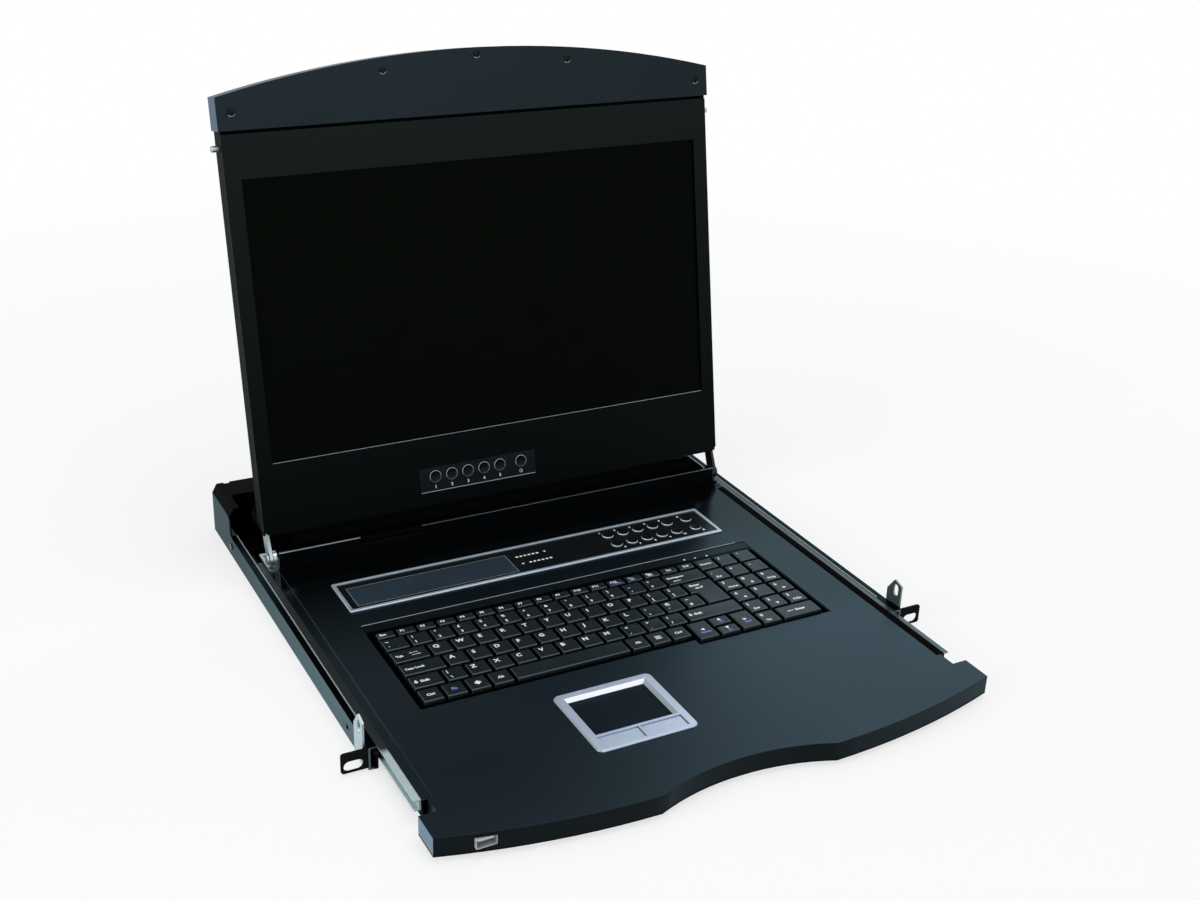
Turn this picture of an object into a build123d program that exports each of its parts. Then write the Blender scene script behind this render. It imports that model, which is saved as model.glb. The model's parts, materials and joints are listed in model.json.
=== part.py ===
"""Rackmount LCD console drawer, one rack unit high, shown pulled out part of the way with its lid up.

Frame: +X to the viewer's right, +Y to the rear of the rack, +Z up. The origin is midway between the
two slots of the rack ears, on the ears' front face. All lengths are in millimetres.
"""

import os
from math import cos, radians, sin

from build123d import *

# Rack interface
panel_width = 482.6
slot_inset = 8.75
ear_reach = 19.3
slot_length = 14.0
slot_width = 8.0
ear_thickness = 2.0
ear_low = -5.1
ear_high = 10.5
ear_flange = 14.0
ear_corner = 2.0
flange_sheet = 1.2

# Upright blades beside the ears
blade_sheet = 1.5
blade_front = 4.0
blade_back = 21.0
blade_peak = 13.0
blade_shoulder = 28.4
blade_top = 31.0
blade_heel = 20.0
blade_slot_y = 10.4
blade_slot_z = 22.6
blade_slot_length = 9.6
blade_slot_width = 5.4
blade_corner = 1.2

# Chassis: side plates, rear box and fixed rails
slide_space = 11.2
side_sheet = 1.4
rail_height = 17.8
chassis_depth = 386.1
box_depth = 52.0
box_height = 43.0
box_side_height = 35.6
shoulder_inset = 4.0
side_ramp = 6.0
side_ramp_rise = 2.0
side_corner = 6.0
window_y = 43.0
window_z = 1.2
window_length = 5.0
window_height = 4.0
top_plate_depth = 27.0
top_arm = 5.0
top_sheet = 1.2
notch_inset = 8.5
notch_width = 5.0
notch_depth = 6.0
floor_sheet = 1.2
floor_clip = 3.0
panel_sheet = 1.4
lip_width = 4.6
rail_sheet = 1.0
rail_front = 6.0
rail_end = 28.1
rail_screw_inset = 53.5

# Heights and lengths of the drawer
deck_top = 11.4
deck_drop = 18.6
deck_sheet = 1.2
edge_step = 0.5
edge_step_width = 7.3
edge_step_stop = 6.0
deck_tail = 16.3
tray_depth = 14.6
tray_sheet = 1.2

# Nose of the palm rest, seen from above
neck_back = -67.3
neck_inset = 3.8
shoulder_y = -81.8
nose_wing = 8.4
nose_corner_y = -106.3
nose_bow = (155.0, -121.3)
nose_tip = (69.0, -129.3)
nose_scoop = (38.0, -119.6)
nose_middle_y = -115.8
skirt = 1.6

# Sliding rails on each side of the drawer
running_gap = 0.35
slide_sheet = 1.0
inner_wall = 1.4
inner_drop = 1.0
inner_height = 8.0
inner_front = -66.0
inner_tail = 2.0
inner_holes = (-60.0, -44.0)
middle_front = -4.0
middle_short = 49.0
middle_wall = 4.2

# Hinge between drawer and lid
hinge_setback = 9.2
hinge_z = 20.1
pin_radius = 3.0
pin_fit = 0.05
knuckle_radius = 6.2
bracket_inset = 7.2
bracket_plate = 3.0
bracket_foot = 1.8
bracket_reach = 30.0
bracket_corner = 1.5
bracket_hole_inset = 5.0
arm_gap = 0.4
arm_plate = 2.5
arm_rise = 48.0
arm_neck = 4.0
arm_shoulder = 2.0

# Raised cover over the hinge line
block_setback = 37.5
block_height = 16.6
block_sheet = 1.2
block_gap = 0.4
barrel_radius = 8.0
barrel_inset = 7.2
barrel_cut = 12.0
barrel_wall = 1.2
barrel_rise = 18.0
barrel_cut_drop = 2.0
block_ledge = 4.2
block_foot = 4.2
cable_guard_x = -108.0
cable_guard_width = 54.0
cable_notch = 6.0
guard_drop = 1.0
guard_slope = 1.5
pin_end = 0.4
pin_head = 1.4
pin_head_radius = 4.6
arm_back = 12.5

# Lid, in its own plane: across, up from the bottom edge, and back from the front face
lid_tilt = 10.44
lid_rise = 20.0
lid_front_offset = 2.8
lid_overhang = 0.6
lid_thickness = 17.0
lid_wall = 1.2
bezel_sheet = 2.0
seam_groove = 2.6
seam_groove_depth = 1.2
lid_slope = 10.0
lid_foot = 5.0
bezel_clip = 4.0
screen_head = 36.6
cap_overlap = 8.0
cap_wall = 1.5
cap_side_height = 25.0
cap_arch = 25.7
cap_screw_inset = 10.0
cap_screw_low = 13.0
cap_screw_across = 80.0
cap_screw_middle = 37.0
cap_screw_high = 45.0
screen_side = 12.7
screen_height = 223.5
screen_rise = 57.9
panel_margin = 6.0
panel_thickness = 7.0
screw_head = 2.9
screw_proud = 0.7
screw_shank = 1.5
screw_length = 6.0
latch_drop = 13.0
latch_radius = 2.5
latch_proud = 6.0
latch_length = 14.0
latch_chamfer = 0.6

# Buttons under the screen
osd_left = -77.2
osd_right = 28.9
osd_low = 11.1
osd_high = 32.2
osd_sheet = 0.8
osd_button_radius = 5.25
osd_button_gap = 0.35
osd_button_proud = 0.9
osd_button_length = 5.0
osd_dish_rim = 1.2
osd_dish_depth = 0.4
osd_button_rise = 24.4
osd_first = -63.3
osd_pitch = 14.7
osd_count = 5
osd_power = 15.2

# Port switch strip on the deck
strip_setback = 22.3
strip_right_inset = 6.3
strip_depth = 47.0
strip_border = 3.0
strip_proud = 1.4
strip_corner = 1.5
strip_chamfer = 0.6
strip_pocket = 3.0
strip_button_radius = 4.9
strip_button_gap = 0.35
strip_button_proud = 0.9
strip_button_length = 3.4
strip_button_chamfer = 0.4
strip_fascia_rise = 0.4
strip_count = 5
strip_first_inset = 94.8
strip_pitch = 14.6
strip_row_pitch = 16.7
strip_row_shift = 1.05
strip_last_step = 18.8

# Keyboard
board_inset_left = 37.0
board_inset_right = 42.3
board_margin = 1.2
board_front_margin = 2.6
board_dip_depth = 6.9
arrow_block = 58.4
board_gap = 0.4
board_sheet = 2.0
board_drop = 5.6
strip_land = 15.0
board_rim = 1.4
key_top_rise = 2.5
key_float = 2.2
key_gap = 1.5
key_stem = 3.0
stem_gap = 0.3
foot_radius = 4.0
key_slant = 16.0
grave_width = 21.0
tab_width = 30.0
caps_width = 35.0
lshift_width = 26.0
modifier_pitch = 18.0
right_modifier_pitch = 17.6
backspace_width = 37.0
key_margin = 3.2
function_inset = 0.5
row_front = 29.5
row_depth = 18.4
function_depth = 11.0
pad_margin = 5.7
pad_pitch = 18.6
pad_overrun = 0.5
pad_rows = 6

# Touchpad
touch_x = -46.35
touch_y = -35.25
touch_width = 78.9
touch_depth = 73.1
touch_corner = 5.0
touch_proud = 1.6
touch_chamfer = 1.0
touch_window_width = 65.0
touch_window_depth = 48.0
touch_window_shift = 6.0
touch_sunk = 1.6
touch_ledge = 3.0
touch_slope = 30.0
touch_pad_sheet = 1.2
touch_button_width = 31.6
touch_button_depth = 12.4
touch_button_y = -61.9
touch_button_gap = 0.35
touch_button_split = 2.2
touch_button_proud = 0.5
touch_button_length = 2.6
touch_button_corner = 1.2
touch_button_chamfer = 0.3
touch_pad_margin = 1.0

# Port in the nose
usb_inset = 32.2
usb_width = 14.6
usb_height = 7.2
usb_length = 15.0
usb_wall = 0.5
usb_drop = 5.6
usb_setback = 9.5
usb_tongue = 1.6
usb_tongue_rise = 1.4
usb_tongue_width = 11.2
usb_tongue_length = 13.5
cable_slot_x = 108.0
cable_slot_length = 60.0
cable_slot_height = 6.0

# Rear connectors and circuit board
port_count = 8
port_pitch = 36.0
port_inset = 40.0
port_width = 16.6
port_height = 8.0
port_reach = 6.0
port_body_depth = 8.0
port_body_height = 12.0
port_flare = 80.0
port_z = 6.0
port_stud = 2.4
port_stud_spacing = 25.0
jack_inset = 66.0
jack_radius = 4.6
jack_bore = 2.8
jack_pin = 1.0
jack_length = 16.0
jack_proud = 1.0
jack_wall = 1.5
circuit_thickness = 1.6
circuit_inset = 26.0
circuit_depth = 15.0
circuit_rise = 4.0
post_radius = 2.5
post_inset_x = 6.0
post_inset_y = 3.5

# Widths, from the rack inwards
side_face = panel_width / 2 - ear_reach
side_inner = side_face - side_sheet
lip_x = side_inner - lip_width
top_half = side_face - shoulder_inset
deck_half = side_face - slide_space
inner_web = deck_half + inner_wall
middle_web = inner_web + middle_wall
neck_half = deck_half - neck_inset
nose_half = deck_half + nose_wing
lid_half = deck_half + lid_overhang
screen_width = 2 * (lid_half - screen_side)
bracket_inner = deck_half - bracket_inset
bracket_outer = bracket_inner + bracket_plate
arm_inner = bracket_outer + arm_gap
arm_outer = arm_inner + arm_plate
block_half = bracket_inner - block_gap
barrel_half = block_half - barrel_inset
latch_reach = lid_half + latch_proud

# Key columns and rows
board_left = -deck_half + board_inset_left
board_right = deck_half - board_inset_right
key_left = board_left + key_margin
pad_left = board_right - pad_margin - 3 * pad_pitch
key_pitch = (pad_left - key_left - grave_width - backspace_width) / 12
function_pitch = (pad_left - key_left - function_inset) / 17
board_dip_left = pad_left - arrow_block
keys_back = row_front + 5 * row_depth + function_depth
board_back = keys_back + strip_land + board_margin
board_front = row_front - board_front_margin
board_dip = board_front - board_dip_depth
pad_front = board_dip + board_rim
pad_row = (keys_back + pad_overrun - pad_front) / pad_rows

# Places along the drawer, from the keyboard to its tail
strip_width = board_right - strip_right_inset - board_left
strip_centre_x = board_left + strip_width / 2
strip_centre_y = board_back + strip_setback + strip_depth / 2
strip_first = board_right - strip_right_inset - strip_first_inset
block_front = strip_centre_y + strip_depth / 2 + block_setback
hinge_y = block_front + hinge_setback
deck_back = hinge_y + deck_tail
rail_length = chassis_depth - rail_end - rail_front
rail_screw_y = chassis_depth - rail_screw_inset
middle_length = rail_length - middle_short
inner_back = deck_back - inner_tail

# Rises up the lid
seam_rise = screen_rise + screen_height + screen_head
cap_corner_rise = seam_rise + cap_side_height
cap_apex_rise = cap_corner_rise + cap_arch
latch_rise = seam_rise - latch_drop

# Derived heights and places
rail_low = deck_top - deck_drop
rail_top = rail_low + rail_height
box_top = rail_low + box_height
box_front = chassis_depth - box_depth
tray_low = deck_top - tray_depth
deck_low = deck_top - deck_sheet
block_top = deck_top + block_height
barrel_z = deck_top + barrel_rise
seat_z = rail_low + rail_height / 2
outer_gap_low = rail_low + side_sheet + rail_sheet
outer_gap_high = rail_top - side_sheet - rail_sheet
inner_rail_high = deck_top - inner_drop
inner_rail_low = inner_rail_high - inner_height
inner_seat_z = (inner_rail_low + inner_rail_high) / 2
shoulder_low = rail_low + box_side_height

os.makedirs("parts", exist_ok=True)


def save(piece, name):
    """Label a finished piece and write it."""
    piece.label = name
    export_step(piece, f"parts/{name}.step")


def lid_plane(depth=0.0):
    """Plane parallel to the lid's front face, a given depth behind it: X across, Y up the lid."""
    tilt = radians(lid_tilt)
    up = Vector(0, sin(tilt), cos(tilt))
    front = Vector(0, -cos(tilt), sin(tilt))
    corner = Vector(0, hinge_y, hinge_z) + up * lid_rise + front * (lid_front_offset - depth)
    return Plane(origin=corner, x_dir=(1, 0, 0), z_dir=front)


def lid_side(across):
    """Plane square to the hinge line at a distance across: X back through the lid, Y up the lid."""
    face = lid_plane()
    return Plane(origin=face.origin + Vector(across, 0, 0), x_dir=face.z_dir * -1, z_dir=(1, 0, 0))


def side_section(points, side, y_from, length):
    """Bar of one cross-section along Y. The points are for the right side and are mirrored for the left."""
    with BuildPart() as bar:
        with BuildSketch(Plane.XZ.offset(-y_from)):
            with BuildLine():
                Polyline(*[(side * x, z) for x, z in points], close=True)
            make_face()
        extrude(amount=-length)
    return bar.part


# Chassis: side plates
def side_plate(side, name):
    """Folded side plate: a channel along the rail that rises to a tall plate beside the rear box."""
    channel = [
        (side_face, rail_low),
        (side_face, rail_top),
        (lip_x, rail_top),
        (lip_x, rail_top - side_sheet),
        (side_inner, rail_top - side_sheet),
        (side_inner, rail_low + side_sheet),
        (lip_x, rail_low + side_sheet),
        (lip_x, rail_low),
    ]
    run = side_section(channel, side, 0, chassis_depth)
    with BuildPart() as plate:
        add(run)
        with BuildSketch(Plane.YZ.offset(side * side_face)):
            with BuildLine():
                Polyline(
                    (box_front - side_ramp, rail_low + side_sheet),
                    (chassis_depth, rail_low + side_sheet),
                    (chassis_depth, rail_low + box_side_height),
                    (box_front, rail_low + box_side_height),
                    (box_front, rail_top + side_ramp_rise),
                    (box_front - side_ramp, rail_top),
                    close=True,
                )
            make_face()
        extrude(amount=-side * side_sheet)
        corner = plate.edges().filter_by(Axis.X).group_by(Axis.Z)[-1].sort_by(Axis.Y)[0]
        fillet(corner, side_corner)
        # Channel lips stop where the box floor and top take over
        with BuildSketch(Plane.XY.offset(rail_top - side_sheet)):
            with Locations((side * (side_inner - lip_width / 2), chassis_depth - box_depth / 2)):
                Rectangle(lip_width, box_depth)
        extrude(amount=side_sheet, mode=Mode.SUBTRACT)
        # Rectangular window near the ear, and the hole of the rail screw
        with BuildSketch(Plane.YZ.offset(side * side_face)):
            with Locations((window_y, window_z)):
                Rectangle(window_length, window_height)
            with Locations((rail_screw_y, seat_z)):
                Circle(screw_shank)
        extrude(amount=-side * side_sheet, mode=Mode.SUBTRACT)
    save(plate.part, name)


side_plate(-1, "side_plate_left")
side_plate(1, "side_plate_right")


# Chassis: rear box
with BuildPart() as rear_floor:
    with BuildSketch(Plane.XY.offset(rail_low)):
        with Locations((0, chassis_depth - box_depth / 2)):
            Rectangle(2 * lip_x, box_depth)
    extrude(amount=floor_sheet)
    front_corners = rear_floor.edges().filter_by(Axis.Z).group_by(Axis.Y)[0]
    chamfer(front_corners, floor_clip)
save(rear_floor.part, "rear_floor")

with BuildPart() as rear_top:
    with BuildSketch(Plane.XZ.offset(-(chassis_depth - box_depth))):
        with BuildLine():
            Polyline(
                (-side_face, shoulder_low),
                (-top_half, box_top),
                (top_half, box_top),
                (side_face, shoulder_low),
                (side_inner, shoulder_low),
                (top_half - top_sheet, box_top - top_sheet),
                (-top_half + top_sheet, box_top - top_sheet),
                (-side_inner, shoulder_low),
                close=True,
            )
        make_face()
    extrude(amount=-box_depth)
    # The flat top is shorter than the folded shoulders, and has a small notch in its rear edge
    with BuildSketch(Plane.XY.offset(box_top)):
        with Locations((0, chassis_depth - (box_depth + top_plate_depth) / 2)):
            Rectangle(2 * (top_half - top_arm), box_depth - top_plate_depth)
        with Locations((notch_inset - top_half, chassis_depth), (top_half - notch_inset, chassis_depth)):
            Rectangle(notch_width, notch_depth)
    extrude(amount=-box_height / 2, mode=Mode.SUBTRACT)
save(rear_top.part, "rear_top_plate")

port_first = port_inset - lip_x
jack_x = lip_x - jack_inset
port_places = [(port_first + i * port_pitch, port_z) for i in range(port_count)]
with BuildPart() as rear_panel:
    with BuildSketch(Plane.XZ.offset(-chassis_depth)):
        with BuildLine():
            Polyline(
                (-side_inner, shoulder_low),
                (-top_half + top_sheet, box_top - top_sheet),
                (top_half - top_sheet, box_top - top_sheet),
                (side_inner, shoulder_low),
                (side_inner, rail_low + side_sheet),
                (lip_x, rail_low + side_sheet),
                (lip_x, rail_low + floor_sheet),
                (-lip_x, rail_low + floor_sheet),
                (-lip_x, rail_low + side_sheet),
                (-side_inner, rail_low + side_sheet),
                close=True,
            )
        make_face()
        with Locations(*port_places):
            Rectangle(port_width, port_height, mode=Mode.SUBTRACT)
            with Locations((-port_stud_spacing / 2, 0), (port_stud_spacing / 2, 0)):
                Circle(screw_shank, mode=Mode.SUBTRACT)
        with Locations((jack_x, port_z)):
            Circle(jack_radius, mode=Mode.SUBTRACT)
    extrude(amount=panel_sheet)
save(rear_panel.part, "rear_panel")

# Rear connectors: each port is a D-shaped shell on a body, with a hex stud at each side
with BuildPart() as ports:
    with BuildSketch(Plane.XZ.offset(-(chassis_depth + port_reach))):
        with Locations(*port_places):
            Trapezoid(port_width, port_height, port_flare, rotation=180)
    extrude(amount=port_reach + panel_sheet)
    with BuildSketch(Plane.XZ.offset(-(chassis_depth - panel_sheet))):
        with Locations(*port_places):
            Rectangle(port_stud_spacing + 2 * port_stud, port_body_height)
    extrude(amount=port_body_depth)
    with BuildSketch(Plane.XZ.offset(-(chassis_depth + port_reach / 2))):
        with Locations(*port_places):
            with Locations((-port_stud_spacing / 2, 0), (port_stud_spacing / 2, 0)):
                RegularPolygon(port_stud, 6)
    extrude(amount=port_reach / 2)
    with BuildSketch(Plane.XZ.offset(-chassis_depth)):
        with Locations(*port_places):
            with Locations((-port_stud_spacing / 2, 0), (port_stud_spacing / 2, 0)):
                Circle(screw_shank)
    extrude(amount=panel_sheet)
save(ports.part, "rear_ports")

with BuildPart() as jack:
    with BuildSketch(Plane.XZ.offset(-(chassis_depth + jack_proud))):
        with Locations((jack_x, port_z)):
            Circle(jack_radius)
            Circle(jack_bore, mode=Mode.SUBTRACT)
    extrude(amount=jack_length)
    with BuildSketch(Plane.XZ.offset(-(chassis_depth + jack_proud - jack_length))):
        with Locations((jack_x, port_z)):
            Circle(jack_radius)
    extrude(amount=jack_wall)
    with BuildSketch(Plane.XZ.offset(-(chassis_depth + jack_proud - jack_length))):
        with Locations((jack_x, port_z)):
            Circle(jack_pin)
    extrude(amount=-(jack_length - jack_wall))
save(jack.part, "power_jack")

# Switch board on four posts in the rear box
circuit_back = chassis_depth - panel_sheet - port_body_depth
circuit_half = lip_x - circuit_inset
post_z = rail_low + floor_sheet
with BuildPart() as circuit:
    with BuildSketch(Plane.XY.offset(post_z + circuit_rise)):
        with Locations((0, circuit_back - circuit_depth / 2)):
            Rectangle(2 * circuit_half, circuit_depth)
    extrude(amount=circuit_thickness)
    with BuildSketch(Plane.XY.offset(post_z)):
        with Locations((0, circuit_back - circuit_depth / 2)):
            with GridLocations(2 * (circuit_half - post_inset_x), circuit_depth - 2 * post_inset_y, 2, 2):
                Circle(post_radius)
    extrude(amount=circuit_rise)
save(circuit.part, "switch_board")


# Fixed outer rails inside the side plates
def outer_rail(side, name):
    """C-shaped rail member with its open side to the drawer."""
    web = side_inner
    low = rail_low + side_sheet
    high = rail_top - side_sheet
    points = [
        (web, low),
        (web, high),
        (lip_x, high),
        (lip_x, high - rail_sheet),
        (web - rail_sheet, high - rail_sheet),
        (web - rail_sheet, low + rail_sheet),
        (lip_x, low + rail_sheet),
        (lip_x, low),
    ]
    with BuildPart() as rail:
        add(side_section(points, side, rail_front, rail_length))
        with BuildSketch(Plane.YZ.offset(side * side_inner)):
            with Locations((rail_screw_y, seat_z)):
                Circle(screw_shank)
        extrude(amount=-side * rail_sheet, mode=Mode.SUBTRACT)
    save(rail.part, name)


outer_rail(-1, "outer_rail_left")
outer_rail(1, "outer_rail_right")
# Middle rails: two channels back to back, one running in each neighbour
def middle_rail(side, name):
    """Rail member that runs in the outer rail and carries the inner one."""
    high = outer_gap_high - running_gap
    low = outer_gap_low + running_gap
    reach = side_inner - rail_sheet - running_gap
    inside = inner_web + running_gap
    inside_low = inner_rail_low + slide_sheet + running_gap
    points = [
        (reach, high),
        (inside, high),
        (inside, high - slide_sheet),
        (middle_web, high - slide_sheet),
        (middle_web, inside_low + slide_sheet),
        (inside, inside_low + slide_sheet),
        (inside, inside_low),
        (middle_web, inside_low),
        (middle_web, low),
        (reach, low),
        (reach, low + slide_sheet),
        (middle_web + slide_sheet, low + slide_sheet),
        (middle_web + slide_sheet, high - slide_sheet),
        (reach, high - slide_sheet),
    ]
    save(side_section(points, side, middle_front, middle_length), name)


middle_rail(-1, "middle_rail_left")
middle_rail(1, "middle_rail_right")


# Inner rails on the drawer
def inner_rail(side, name):
    """C-shaped rail member screwed to the tray's side, open to the outside."""
    flange = lip_x - running_gap
    points = [
        (deck_half, inner_rail_low),
        (flange, inner_rail_low),
        (flange, inner_rail_low + slide_sheet),
        (inner_web, inner_rail_low + slide_sheet),
        (inner_web, inner_rail_high - slide_sheet),
        (flange, inner_rail_high - slide_sheet),
        (flange, inner_rail_high),
        (deck_half, inner_rail_high),
    ]
    with BuildPart() as rail:
        add(side_section(points, side, inner_front, inner_back - inner_front))
        with BuildSketch(Plane.YZ.offset(side * inner_web)):
            with Locations(*[(hole_y, inner_seat_z) for hole_y in inner_holes]):
                Circle(screw_shank)
        extrude(amount=-side * (inner_web - deck_half), mode=Mode.SUBTRACT)
    save(rail.part, name)


inner_rail(-1, "inner_rail_left")
inner_rail(1, "inner_rail_right")


# Rack ears: a slotted plate in front, with a short flange along the side plate
def rack_ear(side, name):
    """Ear with its oval slot, folded from one plate."""
    edge = panel_width / 2
    with BuildPart() as ear:
        with BuildSketch(Plane.XY.offset(ear_low)):
            with BuildLine():
                Polyline(
                    (side * side_face, 0),
                    (side * edge, 0),
                    (side * edge, ear_thickness),
                    (side * (side_face + flange_sheet), ear_thickness),
                    (side * (side_face + flange_sheet), ear_flange),
                    (side * side_face, ear_flange),
                    close=True,
                )
            make_face()
        extrude(amount=ear_high - ear_low)
        tips = ear.edges().filter_by(Axis.Y).group_by(Axis.X)[-1 if side > 0 else 0]
        fillet(tips, ear_corner)
        with BuildSketch(Plane.XZ):
            with Locations((side * (edge - slot_inset), 0)):
                SlotOverall(slot_length, slot_width)
        extrude(amount=-ear_thickness, mode=Mode.SUBTRACT)
    save(ear.part, name)


rack_ear(-1, "rack_ear_left")
rack_ear(1, "rack_ear_right")


# Upright zinc blades beside the ears, each with a long slot
def ear_blade(side, name):
    """Flat blade on the ear's flange that stands up above the rail."""
    with BuildPart() as blade:
        with BuildSketch(Plane.YZ.offset(side * (side_face + flange_sheet))):
            with BuildLine():
                Polyline(
                    (blade_front, ear_low),
                    (blade_front, blade_shoulder),
                    (blade_peak, blade_top),
                    (blade_back, blade_heel),
                    (blade_back, ear_low),
                    close=True,
                )
            make_face()
            with Locations((blade_slot_y, blade_slot_z)):
                SlotOverall(blade_slot_length, blade_slot_width, rotation=90, mode=Mode.SUBTRACT)
        extrude(amount=side * blade_sheet)
        peaks = blade.edges().filter_by(Axis.X).group_by(Axis.Z)[-3:]
        fillet([edge for group in peaks for edge in group], blade_corner)
    save(blade.part, name)


ear_blade(-1, "ear_blade_left")
ear_blade(1, "ear_blade_right")

# Screws that hold the outer rails to the side plates
with BuildPart() as chassis_screws:
    for side in (-1, 1):
        with BuildSketch(Plane.YZ.offset(side * side_face)):
            with Locations((rail_screw_y, seat_z)):
                Circle(screw_head)
        extrude(amount=side * screw_proud)
        with BuildSketch(Plane.YZ.offset(side * side_face)):
            with Locations((rail_screw_y, seat_z)):
                Circle(screw_shank)
        extrude(amount=-side * (side_sheet + rail_sheet))
save(chassis_screws.part, "rail_screws")


# Drawer: outline of the deck and the nose, as one face
def deck_outline(inset=0.0):
    """Plan of the drawer from its rear edge to the bowed front of the palm rest."""
    with BuildSketch() as plan:
        with BuildLine() as right:
            rear = Line((0, deck_back), (deck_half, deck_back))
            flank = Polyline(
                rear @ 1,
                (deck_half, neck_back),
                (neck_half, neck_back),
                (neck_half, shoulder_y),
                (nose_half, shoulder_y),
                (nose_half, nose_corner_y),
            )
            bow = ThreePointArc(flank @ 1, nose_bow, nose_tip)
            scoop = ThreePointArc(bow @ 1, nose_scoop, (0, nose_middle_y))
            mirror(about=Plane.YZ)
        make_face()
        if inset:
            offset(amount=-inset, kind=Kind.INTERSECTION, mode=Mode.REPLACE)
    return plan.sketch


def rectangle_at(x_low, y_low, x_high, y_high):
    """Rectangle between two corners, for use inside a sketch."""
    with Locations(((x_low + x_high) / 2, (y_low + y_high) / 2)):
        Rectangle(x_high - x_low, y_high - y_low)


# Keyboard outline: a rectangle with a dip for the arrow keys and the number pad
def board_outline(inset):
    """Plan of the keyboard, drawn inwards by a clearance."""
    with BuildSketch() as plan:
        with BuildLine():
            Polyline(
                (board_left + inset, board_back - inset),
                (board_right - inset, board_back - inset),
                (board_right - inset, board_dip + inset),
                (board_dip_left + inset, board_dip + inset),
                (board_dip_left + inset, board_front + inset),
                (board_left + inset, board_front + inset),
                close=True,
            )
        make_face()
    return plan.sketch


# Buttons of the port switch strip: two rows, each ending in one button set apart
strip_row_middle = strip_centre_y + strip_row_shift
strip_rows = [
    [(strip_first + i * strip_pitch, strip_row_middle + side * strip_row_pitch / 2) for i in range(strip_count)]
    for side in (1, -1)
]
for row in strip_rows:
    row.append((row[-1][0] + strip_last_step, row[-1][1]))
strip_places = strip_rows[0] + strip_rows[1]
strip_inner_width = strip_width - 2 * strip_border
strip_inner_depth = strip_depth - 2 * strip_border

# Deck cover: the top sheet, folded down round the nose
usb_z = deck_low - usb_drop
usb_face = nose_corner_y - usb_setback
usb_x = usb_inset - nose_half
with BuildPart() as deck_cover:
    with BuildSketch(Plane.XY.offset(tray_low + tray_sheet)):
        add(deck_outline())
    extrude(amount=tray_depth - tray_sheet)
    # Hollow underneath, open at the rear where the deck is one flat sheet
    with BuildSketch(Plane.XY.offset(tray_low + tray_sheet)):
        add(deck_outline(skirt))
        rectangle_at(-deck_half, neck_back, deck_half, deck_back)
    extrude(amount=tray_depth - tray_sheet - deck_sheet, mode=Mode.SUBTRACT)
    # Openings for the strip, the keyboard and the touchpad
    with BuildSketch(Plane.XY.offset(deck_low)):
        with Locations((strip_centre_x, strip_centre_y)):
            Rectangle(strip_inner_width, strip_inner_depth)
        add(board_outline(0))
        with Locations((touch_x, touch_y)):
            Rectangle(touch_width - 2 * touch_ledge, touch_depth - 2 * touch_ledge)
    extrude(amount=deck_sheet, mode=Mode.SUBTRACT)
    # Low step along each side, ending short of the hinge brackets
    with BuildSketch(Plane.XY.offset(deck_top - edge_step)):
        for side in (-1, 1):
            step_inner = side * (deck_half - edge_step_width)
            step_back = hinge_y - knuckle_radius - edge_step_stop
            step_outer = side * deck_half
            rectangle_at(min(step_inner, step_outer), neck_back, max(step_inner, step_outer), step_back)
    extrude(amount=edge_step, mode=Mode.SUBTRACT)
    # Port opening in the front of the nose
    with BuildSketch(Plane.XZ.offset(-nose_corner_y)):
        with Locations((usb_x, usb_z)):
            Rectangle(usb_width, usb_height)
    extrude(amount=2 * usb_length, both=True, mode=Mode.SUBTRACT)
save(deck_cover.part, "deck_cover")

# Tray pan under the deck: floor, side walls and a rear wall with cable slots
wall_height = tray_depth - deck_sheet
with BuildPart() as tray_pan:
    with BuildSketch(Plane.XY.offset(tray_low)):
        add(deck_outline())
    extrude(amount=tray_sheet)
    with BuildSketch(Plane.XY.offset(tray_low)):
        for side in (-1, 1):
            wall_x = side * (deck_half - tray_sheet / 2)
            with Locations((wall_x, (neck_back + deck_back) / 2)):
                Rectangle(tray_sheet, deck_back - neck_back)
        with Locations((0, deck_back - tray_sheet / 2)):
            Rectangle(2 * deck_half, tray_sheet)
    extrude(amount=wall_height)
    with BuildSketch(Plane.XZ.offset(-deck_back)):
        with Locations((-cable_slot_x, seat_z), (cable_slot_x, seat_z)):
            SlotOverall(cable_slot_length, cable_slot_height)
    extrude(amount=tray_sheet, mode=Mode.SUBTRACT)
save(tray_pan.part, "tray_pan")

# Port in the nose: a folded shell with its tongue
with BuildPart() as usb_port:
    with BuildSketch(Plane.XZ.offset(-usb_face)):
        with Locations((usb_x, usb_z)):
            Rectangle(usb_width, usb_height)
            Rectangle(usb_width - 2 * usb_wall, usb_height - 2 * usb_wall, mode=Mode.SUBTRACT)
    extrude(amount=-usb_length)
    with BuildSketch(Plane.XZ.offset(-(usb_face + usb_length))):
        with Locations((usb_x, usb_z)):
            Rectangle(usb_width, usb_height)
    extrude(amount=usb_wall)
    with BuildSketch(Plane.XZ.offset(-(usb_face + usb_length))):
        with Locations((usb_x, usb_z + usb_tongue_rise)):
            Rectangle(usb_tongue_width, usb_tongue)
    extrude(amount=usb_tongue_length)
save(usb_port.part, "usb_port")

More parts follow.
